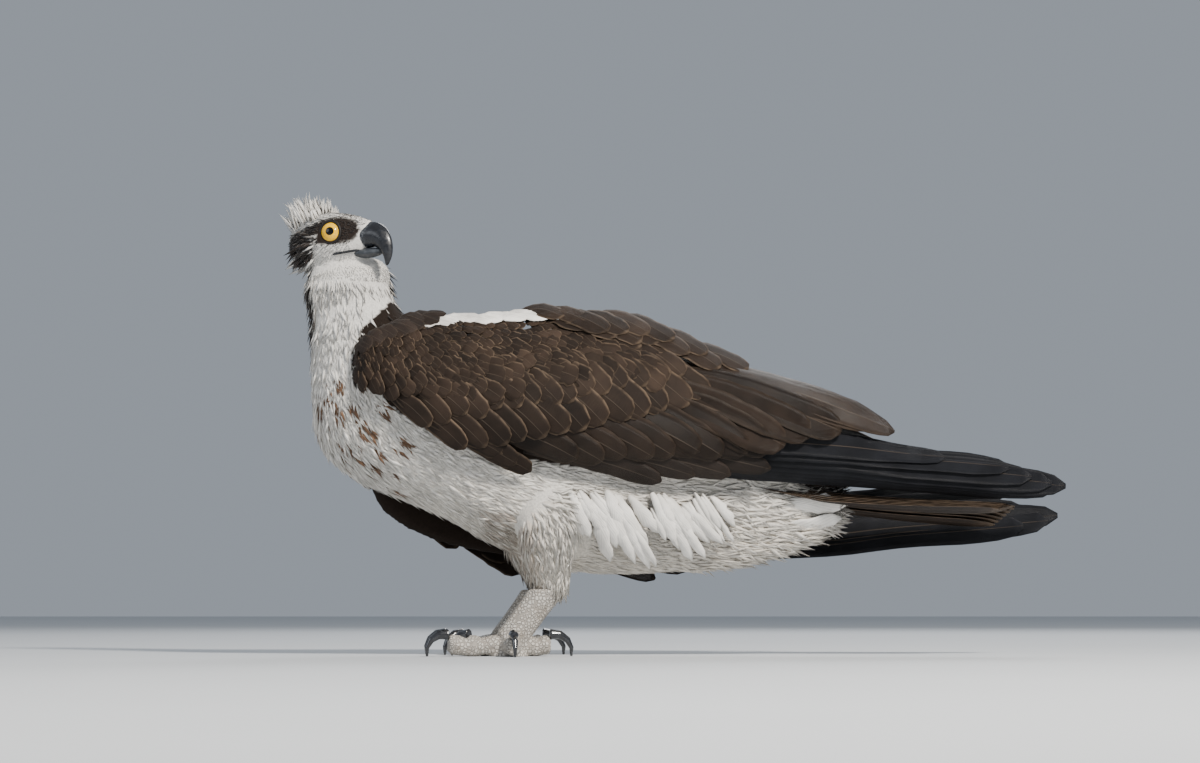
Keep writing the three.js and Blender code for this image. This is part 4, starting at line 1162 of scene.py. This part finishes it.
def scapulars(sheet, side):
    """Feathers that lie from the shoulder over the inner wing, on the left with white ones above."""
    for row in range(3):
        start = (14 + row * 16, 226 - row * 3)
        end = (78 + row * 26, 219 - row * 10)
        tier(sheet, side, 6, [(start[0] - 22, start[1] + 3), (end[0] - 24, end[1] + 8)],
             [(start[0] + 18, start[1] - 6), (end[0] + 22, end[1] - 10)], (10, 13), (7.0 - row, 7.4 - row),
             -0.05, BROWN * 0.95, TAN * 0.9, rows=10, jitter=2.4, ragged=0.05)
    if side == LEFT:
        tier(sheet, side, 18, [(-78, 224), (10, 230)], [(-56, 221), (38, 226)], (5.0, 6.5), (3.6, 6.6), -0.05,
             WHITE, WHITE, rows=8, jitter=1.2, ragged=0.10, arch=1.5, spread=0.04)
        tier(sheet, side, 10, [(-113, 212), (-80, 231)], [(-100, 202), (-56, 223)], (5.5, 6.5), (4.6, 4.4),
             -0.05, DARK * 1.3, TAN * 0.4, rows=8, jitter=2.0, ragged=0.08, arch=1.0)
        tier(sheet, side, 3, [(-80, 229), (-72, 229)], [(-58, 229), (-50, 232)], (3.5, 4), (4.0, 5.0), -0.05,
             DARK, DARK, rows=8, jitter=0.5, arch=3.0)


def feathered(fill, name, material, slot, nodes=(), given=()):
    """Builds one piece of broad feathers, which fill adds to its sheet."""
    sheet = VaneSheet(name)
    fill(sheet, *given)
    settle(sheet.build(), name, material, slot, nodes)


for side, name in SIDES.items():
    feathered(wing_coverts, f"{name}_wing_coverts", mat_covert, "wing_feathers",
              (f"{name}_wing_arm",), (side,))
    feathered(scapulars, f"{name}_scapulars", mat_covert, "wing_feathers", given=(side,))
    feathered(wing_flight, f"{name}_wing_flight", mat_flight, "flight_feathers",
              (f"{name}_wing_primaries",), (side,))


# Loose feathers and tail


def under_plumes(sheet):
    """Long loose white feathers round the belly and under the tail."""
    t = np.linspace(0, 1, 10)
    narrow = 1 - 0.20 * t
    for row in range(5):
        along = row / 4
        x = lerp(60, 172, along)
        half_width, half_height = lerp(46, 23, along), lerp(53, 31, along)
        count = 13 - row
        for k in range(count):
            angle = math.radians(lerp(-86, 86, k / (count - 1)) + rng.normal(0, 4))
            out = np.array((0, math.sin(angle), -math.cos(angle)))
            length = rng.uniform(34, 52)
            away = -5 + rng.uniform(8, 14) * t - rng.uniform(11, 18) * t * t
            path = xyz(
                x + rng.normal(0, 5) + t * length,
                out[1] * (half_width * narrow + away) + rng.normal(0, 3) * t * t,
                lerp(112, 106, along) + out[2] * (half_height * narrow + away),
            )
            own = shade_of(WHITE, 0.05)
            sheet.add(path, np.tile(out, (10, 1)), rng.uniform(6, 9), own, own, rounded,
                      camber=1.2, ragged=0.12, thickness=0.4)


def trunk_side(x, z, side):
    """Where the trunk's side is at x and z, and the way out from it."""
    middle_x = (REAR_TRUNK[:, 0] + REAR_TRUNK[:, 2]) / 2
    top, bottom, half = (smooth(middle_x, REAR_TRUNK[:, k], x) for k in (1, 3, 4))
    half_height = (top - bottom) / 2
    share = np.clip((z - (top + bottom) / 2) / half_height, -0.99, 0.99)
    y = half * np.sqrt(1 - share**2)
    return xyz(x, side * y, z), unit(xyz(0, side * y / half**2, share / half_height))


def flank_plumes(sheet):
    """Clumps of loose feathers that hang from the flank below the folded wing."""
    t = np.linspace(0, 1, 10)
    for side, (x, z, size) in product(SIDES, FLANK_CLUMPS):
        for _ in range(FLANK_EACH):
            fan = rng.normal(0, 1)
            root = np.array((x + 7 * fan, z + rng.uniform(-7, 4)))
            tip = root + size * rng.uniform(0.6, 1.1) * np.array((19 + 5 * fan, -31 + 2 * abs(fan)))
            where, out = trunk_side(lerp(root[0], tip[0], t), lerp(root[1], tip[1], t), side)
            lift = rng.uniform(1.5, 4.0) + 5 * size * np.sin(t * 2.4) - 1.5
            own = shade_of(WHITE, 0.05)
            sheet.add(where + out * lift[:, None], out, size * rng.uniform(2.2, 4.2), own, own, rounded,
                      camber=1.5, ragged=0.14, thickness=0.35, slope=rng.normal(0, 0.12))


def tail_feathers(sheet):
    t = np.linspace(0, 1, 25)
    up = unit(xyz(0.09, 0.2 * t, 1.0))
    for pair in range(TAIL_PAIRS):
        for step, side in enumerate(SIDES):
            layer = (pair * 2 + step) * 1.25 * 0.55
            spread = lerp(2.4, 3.7, t) * (pair + 0.5) * side
            x = lerp(146, 341 - pair * 2.2, t)
            z = lerp(119, 102, t) - 3 * np.sin(math.pi * t) - layer * np.minimum(1, t * 3)
            sheet.add(xyz(x, spread, z - spread * 0.2 * t), up, 13, shade_of(BROWN * 1.2, 0.1),
                      TAN * 1.4, blade, camber=0.3)


feathered(under_plumes, "under_plumes", mat_plume, "white_feathers")
feathered(flank_plumes, "flank_plumes", mat_plume, "white_feathers")
feathered(tail_feathers, "tail_feathers", mat_tail, "tail_feathers", ("tail",))


# Bill and eyes


def horn_form(table):
    """Sections of a bill, from its base to its tip, in the head's own frame."""
    def place(t, angle):
        s = t * (len(table) - 1)
        x, z, high, half = along_table(table, s)
        after, before = along_table(table, s + 0.05), along_table(table, s - 0.05)
        dx, dz = after[0] - before[0], after[1] - before[1]
        length = np.hypot(dx, dz) + 1e-6
        cap = end_round(t, 0.05)
        c, s = np.cos(angle), np.sin(angle)
        ridge = 1 + 0.10 * np.clip(s, 0, 1) ** 6
        narrow = 1 - 0.16 * np.clip(s, 0, 1) ** 2
        up = xyz(-dz / length, 0, dx / length) * (high * s * cap * ridge)[:, None]
        return from_head(xyz(x, half * (c * cap * narrow), z) + up)
    return place


upper = wrapped_sphere(40, 48, horn_form(BILL))
bill_local = to_head(to_mm(read(upper.data.vertices, "co", 3)))
mark(upper.data, "soft", smoothstep(33.5, 28.5, bill_local[:, 0] - 0.3 * bill_local[:, 2]))
settle(upper, "upper_bill", mat_bill, "bill", ("bill_upper",))
settle(wrapped_sphere(32, 30, horn_form(JAW)), "lower_bill", mat_cere, "bill", ("bill_lower",))


def build_gape(side, name):
    """The dark corner of the mouth, a thin fold along the cheek."""
    def place(t, angle):
        x, z = (lerp(a, b, t) for a, b in zip(GAPE["from"], GAPE["to"]))
        top, bottom, half = read_table(SKULL, x, 1, 2, 3)
        share = (z - (top + bottom) / 2) / ((top - bottom) / 2)
        y = (half - HEAD_DEPTH) * np.sqrt(np.clip(1 - share**2, 0, 1))
        radius = GAPE["half"] * end_round(t, 0.2)
        return from_head(xyz(x, side * (y + radius * np.cos(angle)), z + radius * np.sin(angle)))

    settle(wrapped_sphere(10, 24, place), name, mat_bill, "bill")


def eye_seat(side):
    """The middle of an eye in the head's frame, and the turn from the z axis to the way it looks."""
    centre, look = (np.array((x, y * side, z), float) for x, y, z in (EYE_AT, EYE_LOOK))
    turn = Vector((0, 0, 1)).rotation_difference(Vector(unit(look))).to_matrix()
    return centre, np.array(turn)


def build_eye(side, name):
    centre, turn = eye_seat(side)

    def place(t, angle):
        polar = t * math.pi
        ball = xyz(np.sin(polar) * np.cos(angle), np.sin(polar) * np.sin(angle), np.cos(polar))
        return from_head(ball * EYE_RADIUS @ turn.T + centre)

    ball = wrapped_sphere(48, 40, place)
    local = to_head(to_mm(read(ball.data.vertices, "co", 3))) - centre
    gaze = unit((GAZE[0], GAZE[1] * side, GAZE[2]))
    mark(ball.data, "polar", np.arccos(np.clip(unit(local) @ gaze, -1, 1)))
    settle(ball, name + "ball", mat_eye, "eye", (name,))


def build_lid(side, name):
    centre, turn = eye_seat(side)
    bpy.ops.mesh.primitive_torus_add(
        major_radius=LID["radius"], minor_radius=LID["half"], major_segments=48, minor_segments=12,
    )
    lid = bpy.context.object
    points = read(lid.data.vertices, "co", 3) + (0, 0, LID["out"])
    settle(moved(lid, from_head(points @ turn.T + centre)), name, mat_rim, "eye")


for build, part in ((build_gape, "gape"), (build_eye, "eye"), (build_lid, "lid")):
    for side, name in HEAD_SIDES.items():
        build(side, f"{name}_{part}")


# Feet


def copy_nodes(names):
    """One piece from copies of the frame's nodes, with doubles merged."""
    copies = []
    for name in names:
        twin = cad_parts[name].copy()
        twin.data = twin.data.copy()
        twin.parent = None
        for key in list(twin.keys()):
            del twin[key]
        bpy.context.scene.collection.objects.link(twin)
        copies.append(twin)
    whole = joined(copies)
    edit_whole(whole, bpy.ops.mesh.remove_doubles, threshold=1e-5)
    return whole


for name in LEGS:
    foot_nodes = [f"{name}_foot"] + [f"{name}_toe_{toe}" for toe in TOES]
    foot = copy_nodes(foot_nodes)
    softened(foot, FOOT_VOXEL, 5, 0.0004)
    settle(foot, f"{name}_foot_skin", mat_scales, "foot_scales", foot_nodes)
    for toe in TOES:
        claw = copy_nodes([f"{name}_claw_{toe}"])
        softened(claw, CLAW_VOXEL, 6, 0.0002)
        settle(claw, f"{name}_talon_{toe}", mat_claw, "claws", (f"{name}_claw_{toe}",))


# Floor, lights and camera

FLOOR_SIZE = 14
PHOTO_SCALE = 0.69
PHOTO_WIDE = 1200
PHOTO_HIGH = 763
FLOOR_LINE = 655
ORIGIN_COLUMN = 520
CAMERA_AWAY = 2.2
CAMERA_HIGH = 0.035
SENSOR_WIDTH = 36
LIGHTS_AIM = (0, 0, 0.15)
# Name, place, size, power and colour
LIGHTS = [
    ("key", (0.9, -1.7, 1.7), 0.36, 105, (1.0, 0.95, 0.875)),
    ("fill", (-1.8, -1.4, 1.1), 1.2, 9, (0.90, 0.94, 1.0)),
    ("back", (0.3, 1.8, 1.4), 1.0, 18, (1, 1, 1)),
]
WORLD_COLOUR = (0.55, 0.61, 0.69, 1)
WORLD_STRENGTH = 0.55


def placed(name, data, place, target):
    """A camera or lamp at a place, turned to its target."""
    thing = bpy.data.objects.new(name, data)
    bpy.context.scene.collection.objects.link(thing)
    thing.location = place
    thing.rotation_euler = (Vector(target) - thing.location).to_track_quat("-Z", "Y").to_euler()
    return thing


bpy.ops.mesh.primitive_plane_add(size=FLOOR_SIZE, location=(0, 0, 0))
floor = bpy.context.object
floor.name = "floor"
floor.data.materials.append(floor_material())

aim = to_metres((
    (PHOTO_WIDE / 2 - ORIGIN_COLUMN) * PHOTO_SCALE, 0, (FLOOR_LINE - PHOTO_HIGH / 2) * PHOTO_SCALE,
))
camera_data = bpy.data.cameras.new("camera")
camera_data.sensor_width = SENSOR_WIDTH
camera_data.lens = SENSOR_WIDTH * CAMERA_AWAY / (PHOTO_WIDE * PHOTO_SCALE / 1000)
camera_data.clip_start = 0.05
bpy.context.scene.camera = placed("camera", camera_data, (aim[0], aim[1] - CAMERA_AWAY, CAMERA_HIGH), aim)

for name, place, size, power, rgb in LIGHTS:
    data = bpy.data.lights.new(name, "AREA")
    data.shape = "DISK"
    data.size = size
    data.energy = power
    data.color = rgb
    placed(name, data, place, LIGHTS_AIM)

world = bpy.data.worlds.new("studio")
world.use_nodes = True
background = world.node_tree.nodes["Background"]
background.inputs["Color"].default_value = WORLD_COLOUR
background.inputs["Strength"].default_value = WORLD_STRENGTH
bpy.context.scene.world = world
